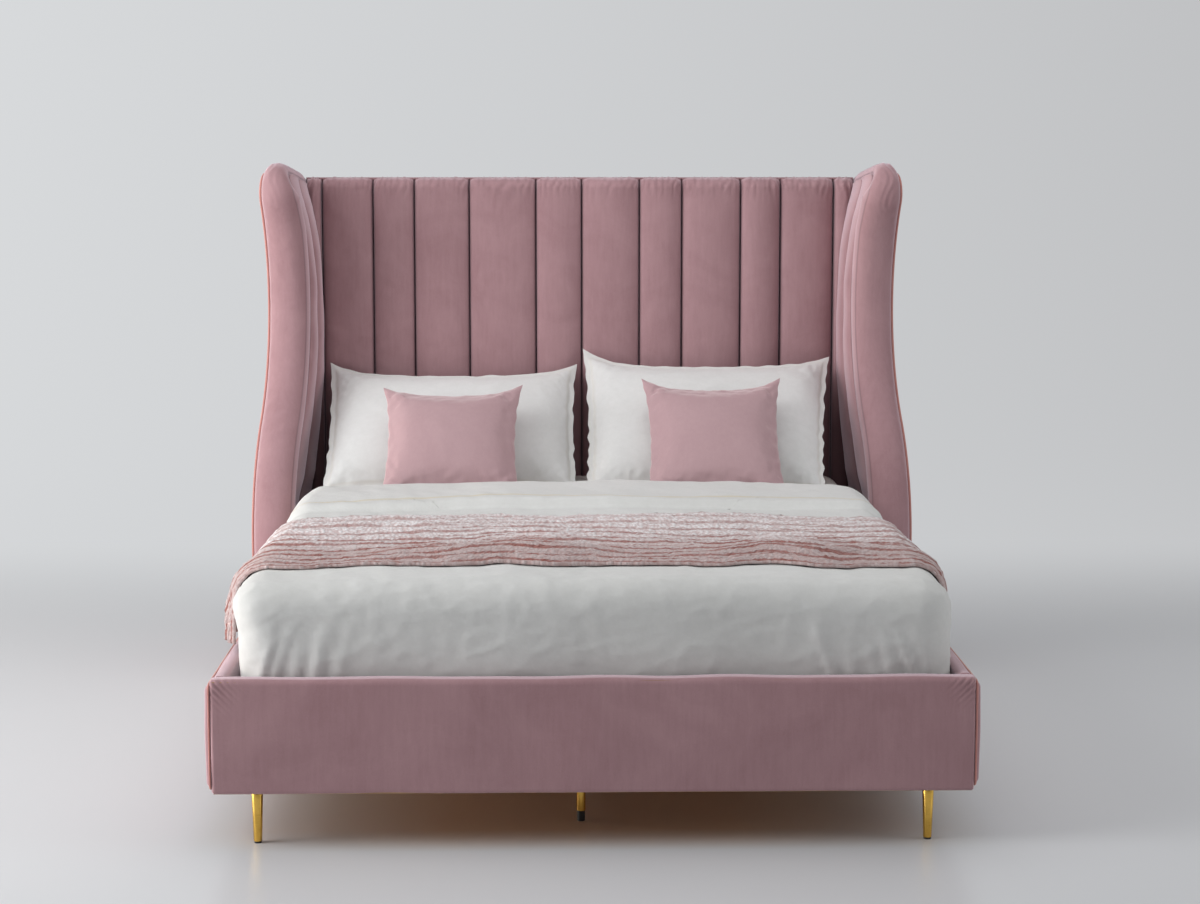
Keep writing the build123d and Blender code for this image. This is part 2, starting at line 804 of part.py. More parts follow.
def mattress_form(gap):
    """The mattress, larger all round by a gap."""
    return rounded_block(mattress_width / 2 + gap, (mattress_foot - gap, mattress_head + gap),
                         (mattress_bottom - gap, mattress_top + gap),
                         mattress_corner_radius + gap, mattress_edge_radius + gap)


def arch_half_width():
    """Half the width of the duvet where it hangs beside the mattress."""
    return mattress_width / 2 + duvet_side


def fold_plan(height, middle, outwards, share):
    """Cross-section of one hanging fold: a shallow arc standing out from the duvet."""
    x, y = middle
    dx, dy = outwards
    half = fold_width / 2 * share
    depth = fold_depth * share
    with BuildSketch(Plane.XY.offset(height)) as plan:
        with BuildLine():
            ThreePointArc((x - dy * half, y + dx * half), (x + dx * depth, y + dy * depth),
                          (x + dy * half, y - dx * half))
            Polyline((x + dy * half, y - dx * half), (x + (dy - dx) * half, y - (dx + dy) * half),
                     (x - (dx + dy) * half, y + (dx - dy) * half), (x - dy * half, y + dx * half))
        make_face()
    return plan.sketch


def duvet_folds():
    """Places of the hanging folds and the way each stands out, at the foot and both its corners."""
    half = arch_half_width()
    front = mattress_foot - duvet_side
    throw_front = foot_front + throw_front_inset
    folds = [((share * half, front), (0, -1)) for share in front_fold_shares]
    for share in side_fold_shares:
        y = front + duvet_corner_radius + share * (throw_front - front - duvet_corner_radius)
        folds += [((half, y), (1, 0)), ((-half, y), (-1, 0))]
    return folds


def make_duvet():
    """A quilted shell over the mattress, with its turned-back band nearest the pillows."""
    half = arch_half_width()
    front = mattress_foot - duvet_side
    rear = foot_front + duvet_back_inset
    hidden_rear = rear + 2 * duvet_corner_radius
    hidden_bottom = duvet_hem_height - 2 * duvet_edge_radius
    top = mattress_top + duvet_top
    lining = mattress_width / 2 + duvet_liner_gap
    with BuildPart() as duvet:
        for start, crest in ((front, top), (rear - duvet_turnback_width, top + duvet_turnback_height)):
            add(rounded_block(half, (start, hidden_rear), (hidden_bottom, crest),
                              duvet_corner_radius, duvet_edge_radius))
        for middle, outwards in duvet_folds():
            loft([fold_plan(duvet_hem_height, middle, outwards, 1),
                  fold_plan(top - duvet_edge_radius, middle, outwards, fold_top_share)])
        block((-2 * half, 2 * half), (rear, hidden_rear), (hidden_bottom, 2 * top),
              mode=Mode.SUBTRACT)
        block((-2 * half, 2 * half), (front, rear), (hidden_bottom, duvet_hem_height),
              mode=Mode.SUBTRACT)
        add(mattress_form(duvet_liner_gap), mode=Mode.SUBTRACT)
        block((-lining, lining), (mattress_foot - duvet_liner_gap + mattress_corner_radius, rear),
              (duvet_hem_height, mattress_bottom + mattress_depth * duvet_lining_share),
              mode=Mode.SUBTRACT)
    save(duvet.part, "duvet")


def make_throw():
    """A ridged band laid across the bed and down both sides, swept along an arch."""
    half = arch_half_width() + throw_gap
    top = mattress_top + duvet_top + throw_gap
    radius = duvet_edge_radius
    back = foot_front + throw_back_inset
    front = foot_front + throw_front_inset
    with BuildPart() as throw:
        with BuildLine(Plane.XZ.offset(-front)) as arch:
            Line((-half, top - throw_drop), (-half, top - radius))
            CenterArc((-half + radius, top - radius), radius, 180, -90)
            Line((-half + radius, top), (half - radius, top))
            CenterArc((half - radius, top - radius), radius, 90, -90)
            Line((half, top - radius), (half, top - throw_drop))
        with BuildSketch(Plane(origin=(-half, front, top - throw_drop), x_dir=(0, 1, 0),
                               z_dir=(0, 0, 1))):
            with BuildLine():
                start = 0.0
                for share in throw_ridge_shares:
                    end = start + share * (back - front)
                    slope = throw_slope_share * (end - start)
                    Polyline((start, throw_thickness),
                             (start + slope, throw_thickness + throw_ridge_height),
                             (end - slope, throw_thickness + throw_ridge_height),
                             (end, throw_thickness))
                    start = end
                Polyline((start, throw_thickness), (start, 0), (0, 0), (0, throw_thickness))
            make_face()
        sweep(path=arch.wire())
    save(throw.part, "throw")


def crowned_form(width, height, half_depth, side_draw):
    """A pillow lying flat: drawn-in sides meet in corners, and bands lean in up to the crown."""
    x = width / 2
    y = height / 2
    with BuildSketch() as seam:
        with BuildLine():
            ThreePointArc((-x, -y), (0, -y + side_draw), (x, -y))
            ThreePointArc((x, -y), (x - side_draw, 0), (x, y))
            ThreePointArc((x, y), (0, y - side_draw), (-x, y))
            ThreePointArc((-x, y), (-x + side_draw, 0), (-x, -y))
        make_face()
    with BuildPart() as form:
        plan = seam.sketch.face()
        for share, angle in zip(crown_band_shares, crown_band_angles):
            extrude(plan, amount=half_depth * share, taper=angle)
            plan = form.faces().sort_by(Axis.Z)[-1]
        mirror(about=Plane.XY)
    return form.part


def stand_on_mattress(form, angle, centre):
    """Leans a form back and sets its lowest point on the mattress."""
    leaned = Rotation(angle, 0, 0) * form
    low = leaned.bounding_box().min.Z
    return Pos(centre, 0, mattress_top + seat_gap - low) * leaned


def lean_against(form, support):
    """Slides a form towards the headboard until it all but touches its support."""
    room = form.distance_to(support)
    while room > 2 * seat_gap:
        form = Pos(0, room - seat_gap, 0) * form
        room = form.distance_to(support)
    return form


def make_pillows():
    form = crowned_form(pillow_width, pillow_height, pillow_half_depth, pillow_side_draw)
    pillow = stand_on_mattress(form, pillow_lean_angle, mattress_width / 4 - pillow_inset)
    pillow = Pos(0, panel_front - seat_gap - pillow.bounding_box().max.Y, 0) * pillow
    form = crowned_form(cushion_width, cushion_height, cushion_half_depth, cushion_side_draw)
    cushion = stand_on_mattress(form, cushion_lean_angle, mattress_width / 4 - cushion_inset)
    cushion = lean_against(cushion, pillow)
    save_pair(pillow, "pillow")
    save_pair(cushion, "cushion")


os.makedirs("parts", exist_ok=True)
make_side_rail()
make_side_pad()
make_footboard()
make_headboard_frame()
make_headboard_panels()
make_headboard_pad()
make_wing_board()
make_wing_outer_pad()
make_wing_roll()
make_wing_piping()
make_wing_inner_pad()
make_bearers_and_beam()
make_beam_hangers()
make_slats()
make_slat_holders()
make_corner_joints()
make_bolts()
make_corner_legs()
make_centre_legs()
save(mattress_form(0), "mattress")
make_duvet()
make_throw()
make_pillows()
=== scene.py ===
import math

import bpy
import numpy as np
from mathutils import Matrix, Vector


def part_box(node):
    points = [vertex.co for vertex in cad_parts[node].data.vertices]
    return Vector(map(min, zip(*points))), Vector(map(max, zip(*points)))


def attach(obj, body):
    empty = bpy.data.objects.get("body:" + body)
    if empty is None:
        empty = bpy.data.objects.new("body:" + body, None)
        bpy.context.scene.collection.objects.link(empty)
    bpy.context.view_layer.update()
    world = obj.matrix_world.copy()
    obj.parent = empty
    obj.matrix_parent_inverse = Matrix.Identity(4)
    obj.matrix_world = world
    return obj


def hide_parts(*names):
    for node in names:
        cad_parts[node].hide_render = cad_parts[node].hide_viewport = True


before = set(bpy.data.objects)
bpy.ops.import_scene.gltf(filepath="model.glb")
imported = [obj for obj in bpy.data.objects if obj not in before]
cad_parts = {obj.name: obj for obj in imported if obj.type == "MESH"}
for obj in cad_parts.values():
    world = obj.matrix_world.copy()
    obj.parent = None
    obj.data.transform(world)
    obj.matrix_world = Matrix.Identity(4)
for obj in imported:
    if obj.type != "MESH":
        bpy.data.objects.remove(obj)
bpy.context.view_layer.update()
print("stage: frame loaded")


# Small tools for numbers

def srgb(red, green, blue):
    # A colour given as 0..255 on screen, as the linear colour that a shader takes
    values = np.array([red, green, blue]) / 255
    linear = np.where(values <= 0.04045, values / 12.92, ((values + 0.055) / 1.055) ** 2.4)
    return (*[float(value) for value in linear], 1.0)


def ease(low, high, value):
    # Smooth step: 0 below low, 1 above high, 3t^2 - 2t^3 between them
    t = np.clip((np.asarray(value, float) - low) / (high - low), 0, 1)
    return t * t * (3 - 2 * t)


def bell(value, width):
    # 1 where the value is 0, falling to 1/e where it is one width away
    return np.exp(-(value / width) ** 2)


def swollen(t):
    # Quarter circle: 0 where t is 0, rising steeply, 1 where t is 1 or more
    return np.sqrt(np.clip(1 - (1 - np.minimum(t, 1)) ** 2, 0, 1))


def crowned(s, power, root):
    # A crown over s from 0 to 1: (1 - |2s - 1|^power)^root
    return (1 - np.abs(2 * s - 1) ** power) ** root


def denseEnds(count):
    # Numbers from 0 to 1 that lie closer together at both ends
    return (1 - np.cos(np.linspace(0, math.pi, count))) / 2


def together(*parts):
    # Coordinates of any matching shapes, as points
    return np.stack(np.broadcast_arrays(*parts), -1)


def ripple(points, size, seed, waves=14):
    # Sum of plane waves about one size long, with seeded directions and phases, mostly within -1..1
    rng = np.random.default_rng(seed)
    points = np.asarray(points, float)
    headings = rng.normal(size=(waves, points.shape[-1]))
    lengths = np.linalg.norm(headings, axis=1)
    headings *= (rng.uniform(0.6, 1.7, waves) * math.tau / size / lengths)[:, None]
    phases = rng.uniform(0, math.tau, waves)
    return np.sin(points @ headings.T + phases).sum(-1) / math.sqrt(waves)


def crease(points, size, seed, sharp=0.22):
    # A bell over each zero line of a ripple: long thin creases, 0..1
    return bell(ripple(points, size, seed), sharp)


def lengthAlong(line):
    return np.r_[0, np.cumsum(np.linalg.norm(np.diff(line, axis=0), axis=1))]


def resample(line, count, measured=None):
    # The line's rows at equal steps of its own length, or of the measured line's
    steps = lengthAlong(line if measured is None else measured)
    places = np.linspace(0, steps[-1], count)
    return np.stack([np.interp(places, steps, column) for column in line.T], 1), places


def unit(vectors):
    return vectors / np.linalg.norm(vectors, axis=-1, keepdims=True)


def roundedLoop(low, high, radii, count=9):
    # Corners of a rectangle from low to high, each rounded by its own radius, as one closed loop
    corners = [(high[0], low[1], -90), (high[0], high[1], 0), (low[0], high[1], 90), (low[0], low[1], 180)]
    loop = []
    for (x, y, start), radius in zip(corners, radii):
        cx = x - radius * (1 if x == high[0] else -1)
        cy = y - radius * (1 if y == high[1] else -1)
        angle = np.radians(np.linspace(start, start + 90, count))
        loop.append(np.stack([cx + radius * np.cos(angle), cy + radius * np.sin(angle)], 1))
    return np.concatenate(loop)


def evenLoop(loop, count):
    return resample(np.concatenate([loop, loop[:1]]), count + 1)[0][:-1]


def outwards(loop):
    # Unit normals of a closed loop in its own plane, pointing out of it
    run = unit(np.roll(loop, -1, axis=0) - np.roll(loop, 1, axis=0))
    return np.stack([run[:, 1], -run[:, 0]], 1)


def turnSteps(count):
    # Angles evenly spaced round a full turn, without its end
    return np.linspace(0, math.tau, count + 1)[:-1]


# Faces of grids, and pieces made from them

def gridFaces(rows, columns, wrapRows=False, wrapColumns=False):
    # One quad for each cell of a grid of points
    r, c = np.meshgrid(np.arange(rows if wrapRows else rows - 1),
                       np.arange(columns if wrapColumns else columns - 1), indexing="ij")
    nextRow, nextColumn = (r + 1) % rows, (c + 1) % columns
    return np.stack([r * columns + c, r * columns + nextColumn,
                     nextRow * columns + nextColumn, nextRow * columns + c], -1).reshape(-1, 4)


def closedTube(rings):
    # Points and faces of rings joined into a tube, with a fan to the middle of each end ring
    rows, columns = rings.shape[:2]
    sides = gridFaces(rows, columns, wrapColumns=True).tolist()
    first, base = rows * columns, (rows - 1) * columns
    ring = np.arange(columns)
    after = (ring + 1) % columns
    start = np.stack([after, ring, np.full(columns, first)], 1).tolist()
    end = np.stack([base + ring, base + after, np.full(columns, first + 1)], 1).tolist()
    poles = np.stack([rings[0].mean(0), rings[-1].mean(0)])
    return np.concatenate([rings.reshape(-1, 3), poles]), sides + start + end


def closedShell(outer, inner):
    # Two grids of one size, outer and inner, joined round their rim
    rows, columns = outer.shape[:2]
    count = rows * columns
    faces = gridFaces(rows, columns)
    index = np.arange(count).reshape(rows, columns)
    rim = np.concatenate([index[0, :-1], index[:-1, -1], index[-1, :0:-1], index[:0:-1, 0]])
    after = np.roll(rim, -1)
    strip = np.stack([after, rim, rim + count, after + count], 1)
    points = np.concatenate([outer.reshape(-1, 3), inner.reshape(-1, 3)])
    return points, np.concatenate([faces, faces[:, ::-1] + count, strip]).tolist()


def facesOut(points, faces):
    # Turns all faces round if the signed volume under them is negative
    volume = 0.0
    for size in (3, 4):
        some = np.array([face for face in faces if len(face) == size])
        for k in range(2, size if len(some) else 0):
            a, b, c = points[some[:, 0]], points[some[:, k - 1]], points[some[:, k]]
            volume += np.einsum("ij,ij->i", a, np.cross(b, c)).sum()
    return faces if volume > 0 else [face[::-1] for face in faces]


def addObject(name, shape, finish=None):
    # Worked-out points and faces as a smooth mesh object in the scene
    points, faces = shape
    mesh = bpy.data.meshes.new(name)
    mesh.from_pydata(points.tolist(), [], faces)
    mesh.polygons.foreach_set("use_smooth", np.ones(len(mesh.polygons), bool))
    if finish:
        mesh.materials.append(finish)
    made = bpy.data.objects.new(name, mesh)
    bpy.context.scene.collection.objects.link(made)
    return made


def addPiece(name, shape, look, body, stands, uv=None, paintedShade=None):
    # A piece that rides on a body, has a look's material and slot and stands for a CAD node. It can
    # carry cloth coordinates, and a per-point attribute of painted shade, 0..1, by which the materials
    # darken it in seams, gathers and hollows.
    points, faces = shape
    piece = addObject(name, (points, facesOut(points, faces)), finishes[look])
    mesh = piece.data
    if uv is not None:
        corners = np.zeros(len(mesh.loops), np.int32)
        mesh.loops.foreach_get("vertex_index", corners)
        placed = uv[corners].astype(np.float32).ravel()
        mesh.uv_layers.new(name="clothUv").data.foreach_set("uv", placed)
    if paintedShade is not None:
        full = np.zeros(len(points), np.float32)
        full[:paintedShade.size] = paintedShade.ravel()
        mesh.attributes.new("paintedShade", "FLOAT", "POINT").data.foreach_set("value", full)
    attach(piece, body)
    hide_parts(stands)
    return piece


# Materials: nodes, groups that the materials share, and the finishes

def put(tree, kind, values=None, **settings):
    # Adds a node; a value that is a socket is linked to the input, any other is set on it
    node = tree.nodes.new(kind)
    for key, value in settings.items():
        setattr(node, key, value)
    for key, value in (values or {}).items():
        if isinstance(value, bpy.types.NodeSocket):
            tree.links.new(value, node.inputs[key])
        else:
            node.inputs[key].default_value = value
    return node


def spaced(values):
    # Names of inputs, written with _ where the node has a space
    return {key.replace("_", " "): value for key, value in values.items()}


def blendColours(tree, factor, first, second):
    return put(tree, "ShaderNodeMix", {0: factor, 6: first, 7: second}, data_type="RGBA").outputs[2]


def spread(tree, value, low, high, outLow=0.0, outHigh=1.0, **settings):
    # Map Range node from low..high to outLow..outHigh
    inputs = {0: value, 1: low, 2: high, 3: outLow, 4: outHigh}
    return put(tree, "ShaderNodeMapRange", inputs, **settings).outputs[0]


def sums(tree, operation, first, second=0.0):
    return put(tree, "ShaderNodeMath", {0: first, 1: second}, operation=operation).outputs[0]


def times(tree, first, *others):
    for other in others:
        first = sums(tree, "MULTIPLY", first, other)
    return first


def weighted(tree, *pairs):
    # Sum of values, each times its weight
    total, *others = [times(tree, value, weight) for value, weight in pairs]
    for other in others:
        total = sums(tree, "ADD", total, other)
    return total


def noise(tree, place, scale, detail, **more):
    inputs = {"Vector": place, "Scale": scale, "Detail": detail, **more}
    return put(tree, "ShaderNodeTexNoise", inputs).outputs[0]


def wave(tree, place, scale, axis, **more):
    inputs = {"Vector": place, "Scale": scale, **spaced(more)}
    return put(tree, "ShaderNodeTexWave", inputs, bands_direction=axis).outputs["Fac"]


def mapped(tree, place, **values):
    return put(tree, "ShaderNodeMapping", {"Vector": place, **values}).outputs[0]


def coordinates(tree):
    return put(tree, "ShaderNodeTexCoord").outputs["Object"]


def newGroup(name, gives, **takes):
    # A shader node group that takes a Vector and named colours or numbers
    group = bpy.data.node_groups.new(name, "ShaderNodeTree")
    group.interface.new_socket("Vector", in_out="INPUT", socket_type="NodeSocketVector")
    for label, default in spaced(takes).items():
        kind = "NodeSocketFloat" if isinstance(default, float) else "NodeSocketColor"
        group.interface.new_socket(label, in_out="INPUT", socket_type=kind).default_value = default
    for label in gives:
        kind = "NodeSocketColor" if label == "Colour" else "NodeSocketFloat"
        group.interface.new_socket(label, in_out="OUTPUT", socket_type=kind)
    taken, given = group.nodes.new("NodeGroupInput"), group.nodes.new("NodeGroupOutput")

    def give(**values):
        for label, value in values.items():
            group.links.new(value, given.inputs[label])

    return group, taken.outputs, give


def pileGroup():
    # Velvet pile: broad brushed patches, shorter strokes down the cloth, and the fine pile itself
    group, taken, give = newGroup("velvetPile", ("Colour", "Roughness", "Height"),
                                  Brushed=(0.5, 0.3, 0.3, 1), Raised=(0.6, 0.4, 0.4, 1), Pile_Scale=900.0)
    patches = noise(group, taken["Vector"], 5.5, 4.0, Roughness=0.6, Distortion=1.0)
    drawn = mapped(group, taken["Vector"], Scale=(1, 1, 0.12))
    strokes = noise(group, drawn, 90.0, 5.0, Roughness=0.7)
    pile = noise(group, taken["Vector"], taken["Pile Scale"], 2.0)
    broad = spread(group, patches, 0.25, 0.75)
    short = spread(group, strokes, 0.25, 0.75)
    nap = weighted(group, (broad, 0.30), (short, 0.18), (pile, 0.52))
    give(Colour=blendColours(group, nap, taken["Brushed"], taken["Raised"]),
         Roughness=spread(group, nap, 0.0, 1.0, 0.72, 0.9),
         Height=weighted(group, (pile, 0.5), (short, 0.12)))
    return group


def weaveGroup():
    # Plain weave from two crossed waves, with slubs along the thread and a soft tint
    group, taken, give = newGroup("plainWeave", ("Colour", "Height"), Thread=(0.8, 0.8, 0.8, 1),
                                  Shade=(0.7, 0.7, 0.7, 1), Thread_Count=700.0)
    across, along = [wave(group, taken["Vector"], taken["Thread Count"], axis, Distortion=0.6)
                     for axis in ("X", "Y")]
    slub = noise(group, taken["Vector"], 60.0, 5.0, Roughness=0.7)
    tint = noise(group, taken["Vector"], 2.2, 2.0)
    shade = spread(group, weighted(group, (slub, 0.5), (tint, 0.6)), 0.35, 0.75)
    give(Colour=blendColours(group, shade, taken["Thread"], taken["Shade"]),
         Height=weighted(group, (times(group, across, along), 0.6), (slub, 0.5)))
    return group


def grainGroup():
    # Wood grain: bands drawn out along one axis, bent by noise, with fine pores
    group, taken, give = newGroup("woodGrain", ("Colour", "Roughness", "Height"),
                                  Light=(0.6, 0.4, 0.2, 1), Dark=(0.4, 0.25, 0.12, 1), Grain_Scale=30.0)
    bands = wave(group, taken["Vector"], taken["Grain Scale"], "Y", Distortion=5.0, Detail=3.0,
                 Detail_Scale=1.4)
    figure = weighted(group, (bands, 0.6), (noise(group, taken["Vector"], 160.0, 4.0), 0.5))
    give(Colour=blendColours(group, figure, taken["Light"], taken["Dark"]),
         Roughness=spread(group, figure, 0.0, 1.0, 0.45, 0.7), Height=figure)
    return group


def wearGroup():
    # Handling marks: cloudy smudges and fine scratches that change gloss and colour a little
    group, taken, give = newGroup("handlingWear", ("Colour", "Roughness", "Height"),
                                  Clean=(0.8, 0.6, 0.2, 1), Worn=(0.6, 0.45, 0.15, 1), Gloss=0.15, Dull=0.35)
    smudge = noise(group, taken["Vector"], 38.0, 4.0)
    scratch = noise(group, mapped(group, taken["Vector"], Scale=(1, 1, 14)), 120.0, 2.0)
    marks = times(group, spread(group, smudge, 0.4, 0.7), spread(group, scratch, 0.35, 0.65))
    duller = times(group, marks, sums(group, "SUBTRACT", taken["Dull"], taken["Gloss"]))
    give(Colour=blendColours(group, marks, taken["Clean"], taken["Worn"]),
         Roughness=sums(group, "ADD", taken["Gloss"], duller), Height=scratch)
    return group


groups = {"pile": pileGroup(), "weave": weaveGroup(), "grain": grainGroup(), "wear": wearGroup()}


def newMaterial(name, **shader):
    # An empty material with constants set on its Principled shader, and a way to link its inputs
    finish = bpy.data.materials.new(name)
    finish.use_nodes = True
    tree = finish.node_tree
    surface = tree.nodes["Principled BSDF"]
    for key, value in spaced(shader).items():
        surface.inputs[key].default_value = value

    def link(colour, height, strength, depth, roughness=None):
        tree.links.new(colour, surface.inputs["Base Color"])
        if roughness:
            tree.links.new(roughness, surface.inputs["Roughness"])
        bump = put(tree, "ShaderNodeBump", {"Height": height, "Strength": strength, "Distance": depth})
        tree.links.new(bump.outputs[0], surface.inputs["Normal"])
        return finish

    return tree, surface, link


def grouped(tree, name, place, **values):
    # The outputs of a shared group, with 0..255 colours and numbers set on it
    inputs = {key: srgb(*value) if isinstance(value, tuple) else value
              for key, value in spaced(values).items()}
    return put(tree, "ShaderNodeGroup", {"Vector": place, **inputs}, node_tree=groups[name]).outputs


def withPaintedShade(tree, colour, shadeColour):
    # The colour, darkened towards a shade colour by the piece's per-point attribute: painted shade in seams
    # and hollows
    paintedShade = put(tree, "ShaderNodeAttribute", attribute_name="paintedShade").outputs["Fac"]
    return blendColours(tree, paintedShade, colour, srgb(*shadeColour))


def velvetMaterial(name, brushed, raised, rim, sheen, tint, pile=900.0, bump=0.35, seam=(46, 20, 30)):
    # Velvet: the pile group for colour, a painted sheen that turns it paler where the surface is seen edge
    # on, and painted shade in the seams
    tree, _, link = newMaterial(name, Sheen_Weight=sheen, Sheen_Roughness=0.34, Sheen_Tint=srgb(*tint),
                                Specular_IOR_Level=0.12)
    made = grouped(tree, "pile", mapped(tree, coordinates(tree)), Brushed=brushed, Raised=raised,
                   Pile_Scale=pile)
    facing = put(tree, "ShaderNodeLayerWeight", {"Blend": 0.5}).outputs["Facing"]
    # Painted sheen: the colour turns towards the rim colour where the surface is seen edge on
    paintedSheen = blendColours(tree, spread(tree, facing, 0.45, 1.0, 0.0, 0.75), made["Colour"], srgb(*rim))
    return link(withPaintedShade(tree, paintedSheen, seam), made["Height"], bump, 0.0012, made["Roughness"])


def clothMaterial(name, thread, shade, seam):
    # Percale: the weave group, with painted shade along a hem or seam
    tree, _, link = newMaterial(name, Roughness=0.88, Sheen_Weight=0.15, Sheen_Roughness=0.5,
                                Specular_IOR_Level=0.2)
    made = grouped(tree, "weave", mapped(tree, coordinates(tree)), Thread=thread, Shade=shade,
                   Thread_Count=520.0)
    return link(withPaintedShade(tree, made["Colour"], seam), made["Height"], 0.25, 0.0006)


def woodMaterial(name, light, dark, scale, stretch):
    tree, _, link = newMaterial(name, Specular_IOR_Level=0.35)
    place = mapped(tree, coordinates(tree), Scale=(stretch, 1, 1))
    made = grouped(tree, "grain", place, Light=light, Dark=dark, Grain_Scale=scale)
    return link(made["Colour"], made["Height"], 0.25, 0.0005, made["Roughness"])


def hardMaterial(name, clean, worn, gloss, dull, metal, bump=0.1):
    tree, _, link = newMaterial(name, Metallic=metal)
    made = grouped(tree, "wear", mapped(tree, coordinates(tree)), Clean=clean, Worn=worn, Gloss=gloss,
                   Dull=dull)
    return link(made["Colour"], made["Height"], bump, 0.0002, made["Roughness"])


knit = {
    # The gap and front colours are painted shade, between the loops and towards the throw's front; the line
    # colour is the terracotta yarn
    "rowPitch": 0.050, "rowStart": 0.07, "loopScale": 115.0, "yarn": (240, 236, 237),
    "gapShadeColour": (196, 168, 166), "frontShadeColour": (178, 146, 142), "lineYarn": (150, 88, 78),
}


def knitMaterial(name, k):
    # Looped yarn in rows: pale loops on the ribs with painted shade between them, terracotta yarn in the
    # valleys, stronger to the front, and painted shade towards the front
    tree, _, link = newMaterial(name, Roughness=0.95, Sheen_Weight=0.25, Sheen_Roughness=0.6,
                                Specular_IOR_Level=0.1)
    place = put(tree, "ShaderNodeUVMap", uv_map="clothUv").outputs[0]
    forward = put(tree, "ShaderNodeSeparateXYZ", {0: place}).outputs[1]
    row = sums(tree, "ADD", sums(tree, "DIVIDE", forward, k["rowPitch"]), k["rowStart"])
    rib = sums(tree, "COSINE", times(tree, row, math.tau))
    patch = noise(tree, place, 7.0, 4.0, Roughness=0.65)
    ragged = noise(tree, place, 130.0, 2.0)
    valley = spread(tree, sums(tree, "ADD", rib, times(tree, ragged, 0.9)), 0.75, 1.25)
    front = spread(tree, forward, 0.0, 0.45, 0.35, 0.95)
    lines = times(tree, valley, spread(tree, patch, 0.3, 0.6, 0.6), front)
    loops = put(tree, "ShaderNodeTexVoronoi", {"Vector": place, "Scale": k["loopScale"], "Randomness": 0.9})
    # Painted shade between the yarn loops
    loopGapShade = spread(tree, loops.outputs["Distance"], 0.25, 0.75, 0.0, 0.75)
    yarn = blendColours(tree, loopGapShade, srgb(*k["yarn"]), srgb(*k["gapShadeColour"]))
    # Painted shade: the yarn darkens towards the throw's front
    yarn = blendColours(tree, spread(tree, forward, 0.3, 0.75, 0.0, 0.6), yarn, srgb(*k["frontShadeColour"]))
    yarn = blendColours(tree, lines, yarn, srgb(*k["lineYarn"]))
    return link(yarn, sums(tree, "SUBTRACT", 1.0, loops.outputs["Distance"]), 0.9, 0.004)


def tickingMaterial(name):
    # Quilted ticking: crossed waves press a diamond quilt into a woven cover
    tree, _, link = newMaterial(name, Roughness=0.85, Sheen_Weight=0.1, Specular_IOR_Level=0.2)
    made = grouped(tree, "weave", mapped(tree, coordinates(tree)), Thread=(226, 224, 218),
                   Shade=(206, 204, 198))
    turned = mapped(tree, coordinates(tree), Rotation=(0, 0, math.radians(45)))
    puffed = sums(tree, "MINIMUM", *[wave(tree, turned, 2.6, axis) for axis in ("X", "Y")])
    height = sums(tree, "ADD", puffed, times(tree, made["Height"], 0.05))
    return link(made["Colour"], height, 0.5, 0.01)


finishes = {
    # Each velvet's third colour is its painted sheen, the colour it turns to where the surface is seen edge
    # on; the seam colour is painted shade
    "velvet": velvetMaterial("dustyRoseVelvet", (146, 109, 114), (194, 158, 162), (228, 197, 203), 0.75,
                             (248, 238, 250)),
    "piping": velvetMaterial("salmonPiping", (186, 124, 118), (214, 158, 150), (236, 190, 182), 0.4,
                             (255, 232, 226), pile=1400.0, bump=0.2),
    "cushionVelvet": velvetMaterial("paleRoseVelvet", (172, 140, 144), (199, 168, 172), (226, 204, 206),
                                    0.6, (255, 244, 244)),
    # Each cloth's third colour is painted shade along its hem or seam
    "duvetCotton": clothMaterial("duvetPercale", (224, 224, 222), (213, 213, 210), (212, 198, 160)),
    "pillowCotton": clothMaterial("pillowPercale", (228, 228, 227), (217, 217, 215), (204, 198, 182)),
    "throwKnit": knitMaterial("loopedKnit", knit),
    "ticking": tickingMaterial("quiltedTicking"),
    "timber": woodMaterial("pineRail", (196, 160, 112), (160, 120, 78), 26.0, 0.25),
    "plywood": woodMaterial("birchPly", (206, 178, 136), (176, 144, 102), 34.0, 0.3),
    "birch": woodMaterial("sprungBirch", (216, 184, 138), (186, 150, 104), 40.0, 0.12),
    "steel": hardMaterial("zincedSteel", (188, 190, 192), (150, 152, 154), 0.32, 0.5, 1.0),
    "gold": hardMaterial("polishedGold", (238, 194, 96), (208, 164, 72), 0.08, 0.2, 1.0, bump=0.03),
    "plastic": hardMaterial("blackPlastic", (26, 26, 28), (44, 44, 46), 0.4, 0.6, 0.0),
}

# Which kept CAD nodes get each finish, by the start of their names
nodeStarts = {
    "steel": ("bracket_bolts", "centre_beam", "corner_brackets", "leg_plates", "wing_bolts"),
    "gold": ("centre_leg", "leg_front", "leg_rear"),
    "timber": ("footboard_core", "headboard_crossrails", "headboard_posts", "leg_blocks", "side_rail_core",
               "slat_bearer"),
    "velvet": ("footboard_cover", "headboard_back_panel", "headboard_top_border", "side_rail_cover",
               "wing_board"),
    "plywood": ("headboard_front_board",), "birch": ("slats",),
    "plastic": ("leg_glides", "levelling_foot", "slat_holders"),
}
for finishName, starts in nodeStarts.items():
    for nodeName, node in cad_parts.items():
        if nodeName.startswith(starts):
            node.data.materials.clear()
            node.data.materials.append(finishes[finishName])
print("stage: materials made")


# Camera, floor and lamps

